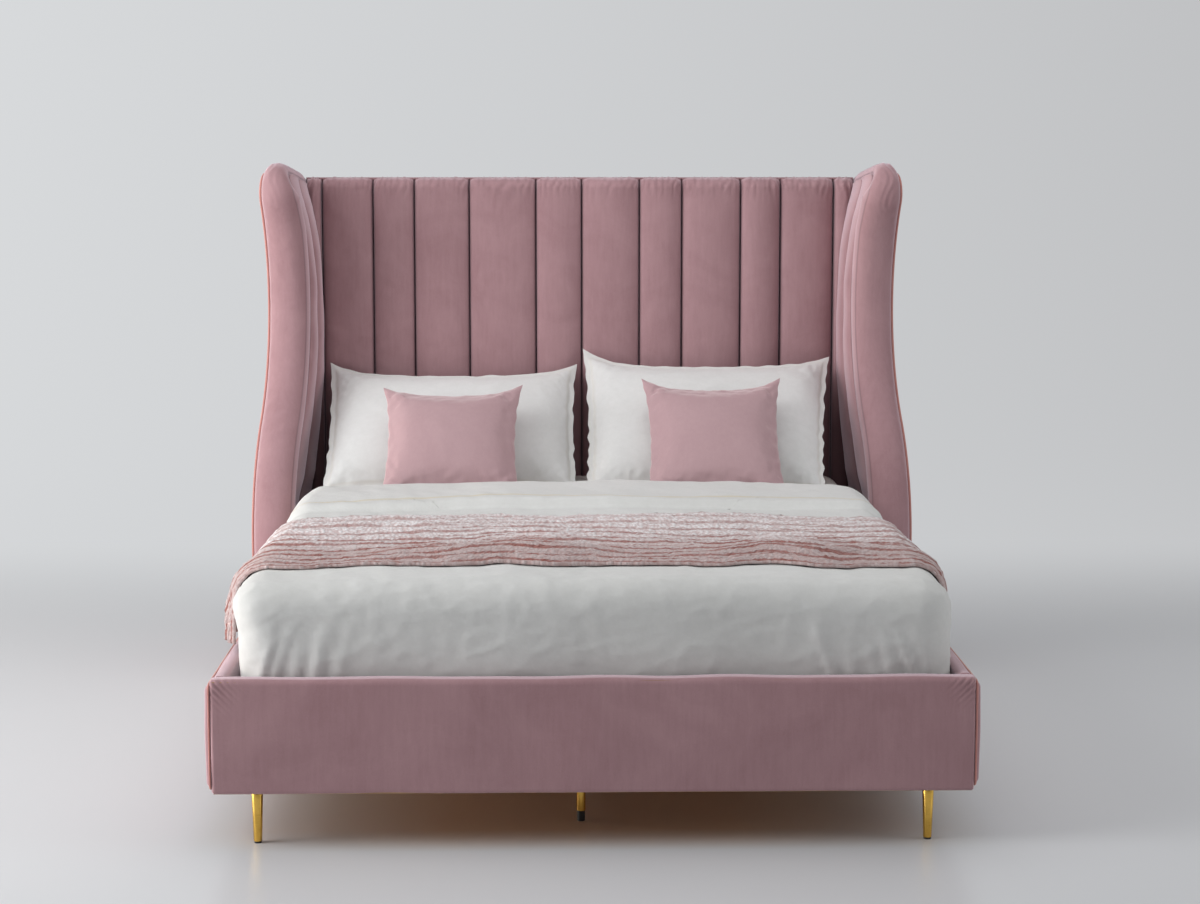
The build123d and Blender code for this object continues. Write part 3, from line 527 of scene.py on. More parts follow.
view = {"lens": 70.5, "place": (-0.091, -5.96, 1.45), "pitchDown": 7.05, "turnRight": 1.22}
studio = {
    # Under the bed the floor takes painted bounce light; the backdrop's glow has painted light falloff from
    # left to right
    "floorColour": (219, 220, 222), "paintedBounceColour": (222, 180, 150), "brightGlowLeft": (219, 221, 223),
    "dimGlowRight": (190, 191, 193), "worldColour": (0.95, 0.97, 1.0, 1), "worldStrength": 0.28,
    "farStart": 0.9, "farEnd": 3.0, "halfWidth": 16, "nearEnd": -14, "bendStart": 5, "bendRadius": 3,
    "topEnd": 14,
}
lamps = {
    "keyLamp": {"place": (-3.7, -2.0, 3.0), "size": 2.4, "power": 79.0},
    "leftLamp": {"place": (-5.0, -1.4, 1.35), "size": 2.6, "power": 128.0},
    "rightLamp": {"place": (4.6, -1.6, 2.2), "size": 2.6, "power": 49.0},
    "topLamp": {"place": (0.1, 0.1, 3.4), "size": 2.4, "power": 26.0},
    "lowLamp": {"place": (-5.4, 0.5, 0.42), "size": 0.8, "power": 70.0, "target": (-0.5, -0.4, 0.0),
                "colour": (1.0, 0.88, 0.76)},
}


def addCamera(v):
    data = bpy.data.cameras.new("camera")
    data.lens = v["lens"]
    camera = bpy.data.objects.new("camera", data)
    camera.location = v["place"]
    camera.rotation_euler = (math.radians(90 - v["pitchDown"]), 0, math.radians(-v["turnRight"]))
    bpy.context.scene.collection.objects.link(camera)
    bpy.context.scene.camera = camera


def floorMaterial(s):
    # Pale paper: plain and softly glossy near the bed, with painted bounce light under it, where timber and
    # velvet throw their light back, and beyond it a glow with painted light falloff, brighter at the left
    # than at the right
    tree, surface, _ = newMaterial("studioPaper", Roughness=0.3, Specular_IOR_Level=0.5)
    parts = put(tree, "ShaderNodeSeparateXYZ", {0: coordinates(tree)}).outputs
    # Painted bounce light: the base colour turns warm under the bed, where only shadow falls
    aside = spread(tree, sums(tree, "ABSOLUTE", parts[0]), 0.88, 0.30)
    ahead = spread(tree, parts[1], -1.12, -0.96)
    behind = spread(tree, parts[1], 1.0, 0.7)
    withPaintedBounce = blendColours(tree, times(tree, aside, times(tree, ahead, behind)), srgb(*s["floorColour"]),
                          srgb(*s["paintedBounceColour"]))
    tree.links.new(withPaintedBounce, surface.inputs["Base Color"])
    # Painted light falloff: the backdrop's glow is brighter on the left and dimmer on the right
    sideways = spread(tree, parts[0], -4.5, 4.5)
    paintedFalloff = blendColours(tree, sideways, srgb(*s["brightGlowLeft"]), srgb(*s["dimGlowRight"]))
    glow = put(tree, "ShaderNodeEmission", {"Color": paintedFalloff})
    path = put(tree, "ShaderNodeLightPath").outputs
    seen = sums(tree, "MAXIMUM", path["Is Camera Ray"], path["Is Glossy Ray"])
    seen = sums(tree, "MAXIMUM", seen, path["Is Transmission Ray"])
    beyond = spread(tree, parts[1], s["farStart"], s["farEnd"], interpolation_type="SMOOTHSTEP")
    share = times(tree, seen, beyond)
    mixed = put(tree, "ShaderNodeMixShader", {0: share, 1: surface.outputs[0], 2: glow.outputs[0]})
    tree.links.new(mixed.outputs[0], tree.nodes["Material Output"].inputs["Surface"])
    return bpy.data.materials["studioPaper"]


def addStage(s):
    # One sheet: flat floor, a quarter round behind the bed, then straight up
    bend = np.linspace(0, math.pi / 2, 24)[1:]
    start, radius = s["bendStart"], s["bendRadius"]
    y = np.r_[np.linspace(s["nearEnd"], start, 20), start + radius * np.sin(bend), start + radius]
    z = np.r_[np.zeros(20), radius - radius * np.cos(bend), s["topEnd"]]
    x = np.linspace(-s["halfWidth"], s["halfWidth"], 9)
    points = together(x[None, :], y[:, None], z[:, None]).reshape(-1, 3)
    addObject("backdrop", (points, gridFaces(len(y), len(x)).tolist()), floorMaterial(s))


def addLamp(name, place, size, power, target=(0, 0, 0.7), colour=(1, 1, 1)):
    data = bpy.data.lights.new(name, "AREA")
    data.size = size
    data.energy = power
    data.color = colour
    lamp = bpy.data.objects.new(name, data)
    lamp.location = place
    lamp.rotation_euler = (Vector(target) - Vector(place)).to_track_quat("-Z", "Y").to_euler()
    bpy.context.scene.collection.objects.link(lamp)


def addWorld(s):
    world = bpy.data.worlds.new("studio")
    bpy.context.scene.world = world
    world.use_nodes = True
    background = world.node_tree.nodes["Background"].inputs
    background["Color"].default_value = s["worldColour"]
    background["Strength"].default_value = s["worldStrength"]
    bpy.context.scene.view_settings.view_transform = "Standard"


addCamera(view)
addStage(studio)
addWorld(studio)
for lampName, values in lamps.items():
    addLamp(lampName, **values)
print("stage: camera, floor and lamps set")


# Headboard: one row of stuffed channels, turned back over the top

channels = {
    "half": 0.8097, "front": 1.000, "boardFront": 1.045, "bottom": 0.372, "top": 1.403,
    "seamDepth": 0.027, "trench": 0.0012, "trenchDepth": 0.004, "topRadius": 0.032, "fullness": 2.0,
    "gatherDepth": 0.0046, "gatherLength": 0.045, "gatherPitch": 0.017, "scallop": 0.005,
    # The shade values below set painted shade along the seams, in the gathers and low down towards the ends
    "puff": 0.0016, "finePuff": 0.0006, "seamWidth": 0.0022, "shadeWidth": 0.0036, "seamShade": 0.85,
    "gatherShade": 0.3, "lowShade": 0.6,
    "leftSeams": (0.941, 0.756, 0.606, 0.406, 0.163),
    "rightSeams": (0.004, 0.215, 0.37, 0.585, 0.731, 0.925), "topLeeway": 0.002,
}


def channelSurface(c):
    # Across: each channel stands out by (1 - |2s - 1|^fullness)^0.5 of its depth beside a narrow sunk seam.
    # Up: straight, then a quarter round back over the top; gathers fade down from the top seam.
    # The second thing given back is painted shade, 0..1: along the seams, in the gathers under the top and
    # low down towards the ends.
    half = c["half"]
    seams = np.r_[-half, -np.array(c["leftSeams"]) * half, np.array(c["rightSeams"]) * half, half]
    share = denseEnds(33)
    x, s, which = [], [], []
    for k, (left, right) in enumerate(zip(seams, seams[1:])):
        some = share[:-1] if k < len(seams) - 2 else share
        x.append(left + (right - left) * some)
        s.append(some)
        which.append(np.full(len(some), k))
    x, s, which = map(np.concatenate, (x, s, which))
    width = np.diff(seams)[which]
    fromSeam = np.minimum(s, 1 - s) * width
    inner = np.clip((s * width - c["trench"]) / (width - 2 * c["trench"]), 0, 1)
    crown = crowned(inner, c["fullness"], 0.5)
    crown *= 0.9 + 0.1 * width / width.max()
    sunk = bell(fromSeam, c["seamWidth"])
    bend = np.linspace(0, math.pi / 2, 12)[1:]
    shoulder = c["top"] - c["topRadius"]
    z = np.r_[np.linspace(c["bottom"], shoulder, 90), shoulder + c["topRadius"] * np.sin(bend)]
    back = np.r_[np.zeros(90), c["topRadius"] * (1 - np.cos(bend))]
    depth = np.r_[np.ones(90), np.cos(bend)]
    xx, zz = np.meshgrid(x, z)
    seamY = c["front"] + c["seamDepth"]
    puff = c["puff"] * ripple(together(xx, zz * 0.6), 0.28, 5)
    puff = puff + c["finePuff"] * ripple(together(xx, zz), 0.06, 6)
    y = seamY - (c["seamDepth"] * crown[None, :]) * (0.35 + 0.65 * depth[:, None]) + back[:, None]
    y = y + puff * crown[None, :] * depth[:, None] + c["trenchDepth"] * sunk[None, :] * depth[:, None]
    fade = bell(c["top"] - zz, c["gatherLength"])
    fine = np.sin(math.tau * (xx / c["gatherPitch"] + 0.35 * ripple(together(xx, zz), 0.09, 8)))
    gathered = c["gatherDepth"] * fade * fine * (0.4 + 0.6 * crown[None, :])
    y = np.minimum(y + gathered * depth[:, None], c["boardFront"] - c["topLeeway"])
    droop = bell(fromSeam, 0.011)[None, :] * ease(shoulder - 0.02, c["top"], zz)
    zz = zz + gathered * 0.6 * (1 - depth[:, None]) - c["scallop"] * droop
    zz = np.minimum(zz, c["top"] + c["topLeeway"])
    # Painted shade along the seams, in the gathers under the top and low down towards the ends
    paintedShade = c["seamShade"] * bell(fromSeam, c["shadeWidth"])[None, :] * np.ones_like(zz)
    paintedShade = np.maximum(paintedShade, c["gatherShade"] * fade * np.clip(fine * 0.8, 0, 1) ** 2)
    paintedShade = np.maximum(paintedShade, c["lowShade"] * ease(0.84, 0.64, zz) * ease(0.70, 0.76, np.abs(xx)))
    outer = together(xx, y, zz)
    behind = outer.copy()
    behind[..., 1] = c["boardFront"] - 0.0005
    return closedShell(outer, behind), paintedShade


channelShape, channelPaintedShade = channelSurface(channels)
addPiece("headboardChannels", channelShape, "velvet", "bed_frame", "headboard_channel_pad",
         paintedShade=channelPaintedShade)
print("stage: headboard channels")


# Wings

wing = {
    "flare": math.radians(8), "rail": 0.810, "rear": 1.100, "board": 0.045, "reach": 0.505, "bottom": 0.120,
    "hip": 0.380, "waist": 1.050, "setback": 0.222, "shoulder": 1.330, "lean": 0.070, "topRadius": 0.060,
    "topFall": math.radians(8), "rollWidth": 0.106, "rollDepth": 0.045, "rollCrown": 0.028,
    "outerPad": 0.012, "outerInset": 0.010, "pipingRadius": 0.004, "boardFront": 1.045, "panelFront": 1.000,
    "gather": {1: 0.0016, -1: 0.0008}, "rearGap": 0.003, "topHeights": (1.25, 1.33, 1.37, 1.40, 1.417),
    "topWidths": (0.106, 0.100, 0.091, 0.076, 0.066), "topPlaces": (0.0, 0.093, 0.240),
    "narrowWidths": (0.0459, 0.059), "rim": 0.016, "panelPuff": 0.0012, "panelPucker": 0.0008,
    # The seam and side shade values set painted shade on the front roll
    "sideBulge": 0.003, "rollPuff": 0.0012, "rollCrease": 0.0009, "curlPitch": 0.024, "seamShade": 0.4,
    "sideShade": 0.25,
}


def wingWorld(w, u, v, z, side):
    # A point so far forward along the wing and inwards from its board, at a height, on one side
    x = w["rail"] + w["board"] / math.cos(w["flare"]) + u * math.sin(w["flare"]) - v * math.cos(w["flare"])
    y = w["rear"] - u * math.cos(w["flare"]) - v * math.sin(w["flare"])
    return together(side * x, y, z)


def wingEdge(w, inset, rear, count):
    # Front edge in the wing's plane: straight foot, hip arc, waist arc, shoulder arc, round top, top line.
    # Gives back evenly spaced (forward, up) points, their outward normals and their places along the edge.
    rise = w["waist"] - w["hip"]
    hipTurn = 2 * math.atan(w["setback"] / rise)
    hipRadius = rise / (2 * math.sin(hipTurn))
    shoulderRise = w["shoulder"] - w["waist"]
    lean = 2 * math.atan(w["lean"] / shoulderRise)
    shoulderRadius = shoulderRise / math.sin(lean)
    hipU = w["reach"] - hipRadius
    waistU = hipU + 2 * hipRadius * math.cos(hipTurn)
    shoulderU = w["reach"] - w["setback"] + shoulderRadius
    topU = shoulderU - (shoulderRadius + w["topRadius"]) * math.cos(lean)
    topZ = w["shoulder"] + w["topRadius"] * math.sin(lean)
    arcs = [(hipU, w["hip"], hipRadius - inset, 0, hipTurn, 1),
            (waistU, w["waist"], hipRadius + inset, math.pi + hipTurn, math.pi, -1),
            (shoulderU, w["waist"], shoulderRadius + inset, math.pi, math.pi - lean, -1),
            (topU, topZ, w["topRadius"] - inset, -lean, math.pi / 2 + w["topFall"], 1)]
    foot = np.linspace(w["bottom"], w["hip"], 40)[:-1]
    rows = [np.stack([np.full(39, w["reach"] - inset), foot, np.ones(39), np.zeros(39)], 1)]
    for u, z, radius, first, last, way in arcs:
        angle = np.linspace(first, last, 80)[:-1]
        rows.append(np.stack([u + radius * np.cos(angle), z + radius * np.sin(angle),
                              way * np.cos(angle), way * np.sin(angle)], 1))
    u, z, radius, _, last, _ = arcs[-1]
    top = np.array([u + radius * math.cos(last), z + radius * math.sin(last)])
    back = np.array([rear, top[1] - (top[0] - rear) * math.tan(w["topFall"])])
    share = np.linspace(0, 1, 60)[:, None]
    line = top + (back - top) * share
    rows.append(np.c_[line, np.full(60, math.cos(last)), np.full(60, math.sin(last))])
    edge = np.concatenate(rows)
    made, places = resample(edge, count, edge[:, :2])
    return made[:, :2], unit(made[:, 2:]), places


def rimDistance(points, outline):
    # Distance of each point of a grid to the nearest piece of a closed outline
    flat = points.reshape(-1, 2)
    best = np.full(len(flat), np.inf)
    for a, d in zip(outline, np.roll(outline, -1, axis=0) - outline):
        t = np.clip(((flat - a) @ d) / max(float(d @ d), 1e-12), 0, 1)
        best = np.minimum(best, np.linalg.norm(flat - a - t[:, None] * d, axis=1))
    return best.reshape(points.shape[:-1])


def wingOuter(w, side):
    # Ruled grid from the front edge to the rear edge; it swells from its rim over a quarter round
    rear = w["outerPad"] * math.tan(w["flare"])
    edge, _, _ = wingEdge(w, w["outerInset"], rear, 181)
    back = np.stack([np.full(181, rear), np.linspace(w["bottom"], edge[-1, 1], 181)], 1)
    outline = np.concatenate([edge[::3], [[rear, w["bottom"]]]])
    share = denseEnds(70)[None, :, None]
    index = denseEnds(181) * 180
    edge, back = [np.stack([np.interp(index, np.arange(181), column) for column in line.T], 1)[:, None, :]
                  for line in (edge, back)]
    grid = edge * (1 - share) + back * share
    away = rimDistance(grid, outline)
    swell = swollen(away / w["rim"])
    v = -w["outerPad"] * (0.12 + 0.88 * swell) + w["panelPuff"] * ripple(grid, 0.25, 21) * ease(0, 0.05, away)
    v = v + w["panelPucker"] * np.sin(math.tau * away / 0.02) * bell(away, 0.018) * ripple(grid, 0.07, 23)
    outer = wingWorld(w, grid[..., 0], v, grid[..., 1], side)
    inner = wingWorld(w, grid[..., 0], -0.0003 + 0 * v, grid[..., 1], side)
    return closedShell(outer, inner)


def alongEdge(w, edge, out, f, v, side):
    # Points that stand out from the front edge by f and inwards from the board by v
    u, z = [edge[:, k][:, None] + out[:, k][:, None] * f for k in (0, 1)]
    return wingWorld(w, u, v, z, side)


def wingRoll(w, side):
    # A D-shaped section carried along the front edge: width times a crowned front, with puckers at the top
    edge, out, steps = wingEdge(w, 0, w["rearGap"], 270)
    u = edge[:, 0]
    high = ease(w["waist"] - 0.02, w["waist"] + 0.05, edge[:, 1])
    narrow = np.interp(u, w["topPlaces"], (*w["narrowWidths"], w["rollWidth"]))
    width = w["rollWidth"] * (1 - high) + narrow * high
    climb = np.maximum.accumulate(edge[:, 1])
    width = np.minimum(width, np.interp(climb, w["topHeights"], w["topWidths"]))
    across = denseEnds(41)
    crown = crowned(across, 2.3, 0.62)
    down = np.linspace(0, 1, 9)[1:]
    sideways = np.r_[across, np.ones(8), np.linspace(1, 0, 9)[1:], np.zeros(7)]
    forward = np.r_[crown * w["rollCrown"], -down * w["rollDepth"], np.full(8, -w["rollDepth"]),
                    -w["rollDepth"] * (1 - down[:-1])]
    bulge = np.r_[np.zeros(41), w["sideBulge"] * np.sin(math.pi * down), np.zeros(15)]
    front = np.r_[crown, np.zeros(23)][None, :]
    v = width[:, None] * sideways[None, :] + bulge[None, :]
    atTop = ease(1.25, 1.36, edge[:, 1]) * ease(0.10, 0.2, u)
    cloth = together(steps[:, None], v)
    curl = np.sin(math.tau * (v / w["curlPitch"] + 0.5 * ripple(cloth, 0.12, 31)))
    gather = w["gather"][side] * atTop[:, None] * ease(1.0, 0.25, sideways)[None, :]
    f = forward[None, :] + front * (w["rollPuff"] * ripple(cloth, 0.3, 32) + gather * curl)
    f = f + front * w["rollCrease"] * crease(cloth, 0.16, 33)
    # Painted shade along the seam beside the channels and down the roll's inner side
    dark = np.r_[w["seamShade"] * bell(1 - across, 0.01), w["sideShade"] * down ** 4, np.zeros(15)]
    return closedTube(alongEdge(w, edge, out, f, v, side)), np.broadcast_to(dark, v.shape)


def wingPiping(w, side):
    # A round cord carried along the front edge, just outside the roll
    edge, out, _ = wingEdge(w, w["pipingRadius"], w["rearGap"], 270)
    turn = turnSteps(12)
    f = w["pipingRadius"] * np.sin(turn)[None, :]
    v = -w["pipingRadius"] - 0.0001 + w["pipingRadius"] * np.cos(turn)[None, :] + 0 * edge[:, :1]
    return closedTube(alongEdge(w, edge, out, f, v, side))


innerPad = {
    "bottom": 0.372, "thickness": 0.050, "crown": 0.015, "gap": 0.0003, "topInset": 0.004,
    # The seam shade values set painted shade along the inner channels' seams
    "rows": 130, "puff": 0.001, "seamShade": 0.4, "shadeWidth": 0.03,
    "heights": (0.372, 0.47, 0.543, 0.75, 0.85, 1.02, 1.167, 1.249, 1.30, 1.35, 1.383, 1.41),
    "frontShares": (0.4, 0.6, 0.9, 1.1, 1.15, 1.15, 1.1, 1.04, 1.0, 0.88, 0.70, 0.50),
    "rearShares": (0.2, 0.35, 0.6, 0.95, 1.1, 1.12, 1.02, 0.9, 0.8, 0.64, 0.48, 0.38),
}


def wingInner(w, p, side):
    # Rows up the wing, each a loop: two crowned channels in front, the board behind.
    # Their front follows the wing's edge, set back behind the roll low down and close under it at the top.
    rows = p["rows"]
    fronts, tails = [], []
    behind = w["rear"] - w["panelFront"] + p["gap"]
    rearU = (behind - w["board"] * math.sin(w["flare"])) / math.cos(w["flare"])
    for inset in (w["rollDepth"], p["topInset"]):
        edge, _, _ = wingEdge(w, inset, 0.05, 500)
        line = edge[edge[:, 1] >= p["bottom"]]
        topAt = int(np.argmax(line[:, 1]))
        fronts.append(resample(line[:topAt + 1], rows)[0])
        tails.append(np.interp(rearU, line[topAt:, 0][::-1], line[topAt:, 1][::-1]))
    rise = ease(1.12, 1.36, fronts[1][:, 1])[:, None]
    front = fronts[0] * (1 - rise) + fronts[1] * rise
    share = (front[:, 1] - p["bottom"]) / (front[-1, 1] - p["bottom"])
    rearZ = p["bottom"] + share * (tails[1] - 0.004 - p["bottom"])
    s = denseEnds(25)
    place = np.r_[s[:-1] / 2, 0.5 + s / 2]
    crown = crowned(s, 2.2, 0.6)
    crown = np.r_[crown[:-1], crown]
    fromSeam = np.minimum(s, 1 - s)
    fromSeam = np.r_[fromSeam[:-1], fromSeam]
    level = front[:, 1]
    thick = (np.interp(level, p["heights"], p["frontShares"])[:, None] * (1 - place[None, :])
             + np.interp(level, p["heights"], p["rearShares"])[:, None] * place[None, :])
    seam = w["board"] + p["thickness"] * thick
    v = seam + p["crown"] * np.minimum(thick + 0.1, 1) * crown[None, :]
    rearHere = (behind - v * math.sin(w["flare"])) / math.cos(w["flare"])
    u = front[:, :1] * (1 - place[None, :]) + rearHere * place[None, :]
    z = front[:, 1:2] * (1 - place[None, :]) + rearZ[:, None] * place[None, :]
    v = v + p["puff"] * ripple(together(u, z), 0.2, 41) * crown[None, :]
    backPlace = np.linspace(1, 0, 10)
    ub = front[:, :1] * (1 - backPlace) + rearU * backPlace
    zb = front[:, 1:2] * (1 - backPlace) + rearZ[:, None] * backPlace
    vb = np.full_like(ub, w["board"] + 0.0002)
    ring = wingWorld(w, np.c_[u, ub], np.c_[v, vb], np.c_[z, zb], side)
    # Painted shade along the channels' seams
    shade = np.r_[bell(fromSeam, p["shadeWidth"]), np.zeros(10)][None, :]
    paintedShade = shade * np.full((rows, 1), p["seamShade"])
    return closedTube(ring), paintedShade


sides = ((1, "right"), (-1, "left"))
for side, word in sides:
    addPiece(f"wingOuterPanel_{word}", wingOuter(wing, side), "velvet", "bed_frame",
             f"wing_outer_pad_{word}")
    rollShape, rollPaintedShade = wingRoll(wing, side)
    addPiece(f"wingFrontRoll_{word}", rollShape, "velvet", "bed_frame", f"wing_front_roll_{word}",
             paintedShade=rollPaintedShade)
    innerShape, innerPaintedShade = wingInner(wing, innerPad, side)
    addPiece(f"wingInnerChannels_{word}", innerShape, "velvet", "bed_frame", f"wing_inner_pad_{word}",
             paintedShade=innerPaintedShade)
    addPiece(f"wingPiping_{word}", wingPiping(wing, side), "piping", "bed_frame", f"wing_piping_{word}")
print("stage: wings")


# Side rails and footboard

rail = {
    "inner": 0.780, "outer": 0.810, "front": -1.060, "rear": 1.045, "bottom": 0.120, "top": 0.366,
    "round": 0.011, "padFront": -1.095, "padRear": 0.549, "padBottom": 0.132,
    "padTop": 0.354, "padDepth": 0.012, "padCorner": 0.014, "pipingRadius": 0.0025,
}
footboard = {"half": 0.810, "front": -1.100, "rear": -1.060, "bottom": 0.120, "top": 0.366, "round": 0.012}


def railCover(r, side):
    # Cross-section of the covered rail carried along it, softly swollen on top
    loop = evenLoop(roundedLoop((r["inner"], r["bottom"]), (r["outer"], r["top"]),
                                (0.003, r["round"], r["round"], 0.003)), 96)
    y = np.linspace(r["front"] + 0.0005, r["rear"] - 0.0005, 150)
    swell = 0.0012 * ripple(together(y[:, None], loop[None, :, 1]), 0.3, 51)
    x = loop[None, :, 0] + 0 * swell
    z = loop[None, :, 1] + np.maximum(swell, -0.001) * ease(0.3, 0.366, loop[None, :, 1])
    yy = np.broadcast_to(y[:, None], x.shape)
    return closedTube(together(side * x, yy, z))


def sidePad(r, side):
    # A flat grid in the plane of the rail that swells outwards from a rounded rim
    y = r["padFront"] + (r["padRear"] - r["padFront"]) * denseEnds(150)
    z = r["padBottom"] + (r["padTop"] - r["padBottom"]) * denseEnds(60)
    grid = np.stack(np.meshgrid(y, z, indexing="ij"), -1)
    low = np.array([r["padFront"], r["padBottom"]])
    high = np.array([r["padRear"], r["padTop"]])
    middle, reach = (low + high) / 2, (high - low) / 2 - r["padCorner"]
    core = middle + np.clip(grid - middle, -reach, reach)
    apart = grid - core
    length = np.linalg.norm(apart, axis=-1, keepdims=True)
    square = np.maximum(np.abs(apart).max(-1, keepdims=True), 1e-9)
    grid = core + apart * np.where(length > 0, square / np.maximum(length, 1e-9), 1)
    away = np.minimum(reach + r["padCorner"] - np.abs(grid - middle), 1).min(-1)
    away = np.minimum(away, r["padCorner"] - np.linalg.norm(grid - core, axis=-1))
    swell = swollen(np.maximum(away, 0) / r["padCorner"])
    x = r["outer"] + r["padDepth"] * (0.15 + 0.85 * swell) + 0.001 * ripple(grid, 0.22, 61) * swell
    outer = together(side * x, grid[..., 0], grid[..., 1])
    inner = together(side * (r["outer"] + 0.0003) + 0 * x, grid[..., 0], grid[..., 1])
    return closedShell(outer, inner)


def sidePiping(r, side):
    # A thin cord round the rim of the side panel
    loop = evenLoop(roundedLoop((r["padFront"] - 0.0025, r["padBottom"] - 0.0025),
                                (r["padRear"] + 0.0025, r["padTop"] + 0.0025), (0.014,) * 4), 400)
    out = outwards(loop)
    turn = turnSteps(10)
    a = r["pipingRadius"] * np.cos(turn)
    b = r["pipingRadius"] * np.sin(turn)
    y = loop[:, :1] + out[:, :1] * a
    z = loop[:, 1:] + out[:, 1:] * a
    x = side * (r["outer"] + r["pipingRadius"] + 0.0001 + b[None, :]) + 0 * y
    points = together(x, y, z)
    return points.reshape(-1, 3), gridFaces(len(loop), len(turn), True, True).tolist()


def footboardCover(f):
    # Section of the covered board carried across the bed, its ends rounded, its front softly full
    loop = evenLoop(roundedLoop((f["front"], f["bottom"]), (f["rear"], f["top"]),
                                (0.004, 0.006, f["round"], 0.006)), 150)
    x = f["half"] * np.sin(np.linspace(-math.pi / 2, math.pi / 2, 361))
    xx = np.broadcast_to(x[:, None], (361, 150))
    y, z = (np.broadcast_to(loop[None, :, k], xx.shape) for k in (0, 1))
    fromEnd = f["half"] - np.abs(xx)
    end = swollen(fromEnd / 0.008)
    facing = ease(-1.06, -1.098, y)
    middle = (f["bottom"] + f["top"]) / 2
    cloth = together(xx, z)
    full = facing * (0.0035 * np.sin(math.pi * (z - f["bottom"]) / 0.246) + 0.0014 * ripple(cloth, 0.35, 71))
    tuck = bell(fromEnd, 0.05) * bell(f["top"] - z, 0.05)
    pleat = 0.0022 * tuck * np.sin((fromEnd - (f["top"] - z)) * 420)
    y = y + (1 - end) * 0.008 * facing - full * end + pleat * facing
    z = z + (1 - end) * 0.003 * np.sign(middle - z) + 0.0012 * ripple(cloth, 0.22, 72) * ease(0.35, 0.366, z)
    return closedTube(together(xx, y, z))


for side, word in sides:
    addPiece(f"railCover_{word}", railCover(rail, side), "velvet", "bed_frame", f"side_rail_cover_{word}")
    addPiece(f"railSidePanel_{word}", sidePad(rail, side), "velvet", "bed_frame", f"side_rail_pad_{word}")
    addPiece(f"railPiping_{word}", sidePiping(rail, side), "piping", "bed_frame",
             f"side_rail_piping_{word}")
addPiece("footboardCover", footboardCover(footboard), "velvet", "bed_frame", "footboard_cover")
print("stage: rails and footboard")


# Legs: turned profiles

def turned(centre, profile, count=40):
    # A profile of (radius, height) turned about an upright line
    angle = turnSteps(count)
    profile = np.array(profile)
    rings = together(centre[0] + profile[:, :1] * np.cos(angle),
                                         centre[1] + profile[:, :1] * np.sin(angle), profile[:, 1:])
    return closedTube(rings)


for corner in ("front_left", "front_right", "rear_left", "rear_right"):
    low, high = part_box(f"leg_{corner}")
    centre = ((low.x + high.x) / 2, (low.y + high.y) / 2)
    wide = (high.x - low.x) / 2
    addPiece(f"taperedLeg_{corner}",
             turned(centre, [(0.0086, low.z), (0.0092, low.z + 0.0007), (wide - 0.0006, high.z - 0.0006),
                             (wide - 0.001, high.z)]),
             "gold", "bed_frame", f"leg_{corner}")
print("stage: legs")


# Mattress

mattress = {"half": 0.750, "foot": -1.030, "head": 0.970, "bottom": 0.2758, "top": 0.5258, "corner": 0.06,
            "edge": 0.03, "tape": 0.004}


def ringAround(halfX, low, high, corner, count):
    # Points round a rectangle with rounded corners, evenly spaced, and their outward directions
    loop = evenLoop(roundedLoop((-halfX, low), (halfX, high), (corner,) * 4, 24), count)
    return loop, outwards(loop)


def mattressSurface(m):
    # Rings round the block from the middle of its base to the middle of its top, with two tape edges
    loop, out = ringAround(m["half"], m["foot"], m["head"], m["corner"], 300)
    middle = np.array([0, (m["foot"] + m["head"]) / 2])
    turn = np.linspace(0, math.pi / 2, 10)
    fromSide, fromEnd = m["edge"] * (1 - np.sin(turn)), m["edge"] * (1 - np.cos(turn))
    inset = np.r_[fromSide, fromEnd[1:]]
    height = np.r_[m["bottom"] + fromEnd, m["top"] - fromSide[1:]]
    inset = np.insert(inset, 10, [0.002, 0.001, 0.002])
    height = np.insert(height, 10, np.linspace(m["bottom"] + 0.05, m["top"] - 0.05, 3))
    tape = m["tape"] * (bell(height - m["bottom"] - 0.014, 0.005)
                        + bell(height - m["top"] + 0.014, 0.005))
    rim = loop[None] - out[None] * (inset - tape + 0.002)[:, None, None]
    scale = np.linspace(0.02, 1, 26)[:-1]
    base = middle + (rim[0] - middle)[None] * scale[:, None, None]
    top = middle + (rim[-1] - middle)[None] * scale[::-1][:, None, None]
    flat = np.concatenate([base, rim, top])
    z = np.r_[np.full(25, m["bottom"]), height, np.full(25, m["top"])]
    return closedTube(np.concatenate([flat, np.broadcast_to(z[:, None, None], (*flat.shape[:2], 1))], -1))


addPiece("mattressBlock", mattressSurface(mattress), "ticking", "mattress_and_bedding", "mattress")
print("stage: mattress")


# Duvet

duvet = {
    "half": 0.776, "front": -1.048, "rear": 0.400, "corner": 0.078, "edge": 0.07, "top": 0.5608,
    "bandFront": 0.020, "bandRise": 0.022, "hem": 0.342, "lining": 0.7505, "liningTop": 0.5262,
    "rearEdge": 0.028, "liningFront": -1.0305, "foldDepth": 0.0065, "leftPull": 0.017,
    "frontFolds": (-0.93, -0.885, -0.83, -0.775, -0.70, 0.66, 0.72, 0.78, 0.83, 0.885, 0.93),
    "sideFolds": (0.2, 0.5, 0.75), "foldSeed": 7, "throwFront": -0.860, "reach": 0.7795,
    "puff": 0.0026, "finePuff": 0.0008, "swag": 0.0026, "edgeCrease": 0.0013, "fineCrease": 0.0009,
    # The hem place, width and shade set painted shade along the hem
    "fineRipple": 0.0004, "topCrease": 0.0012, "hemPlace": 0.097, "hemWidth": 0.009, "hemShade": 0.75,
}


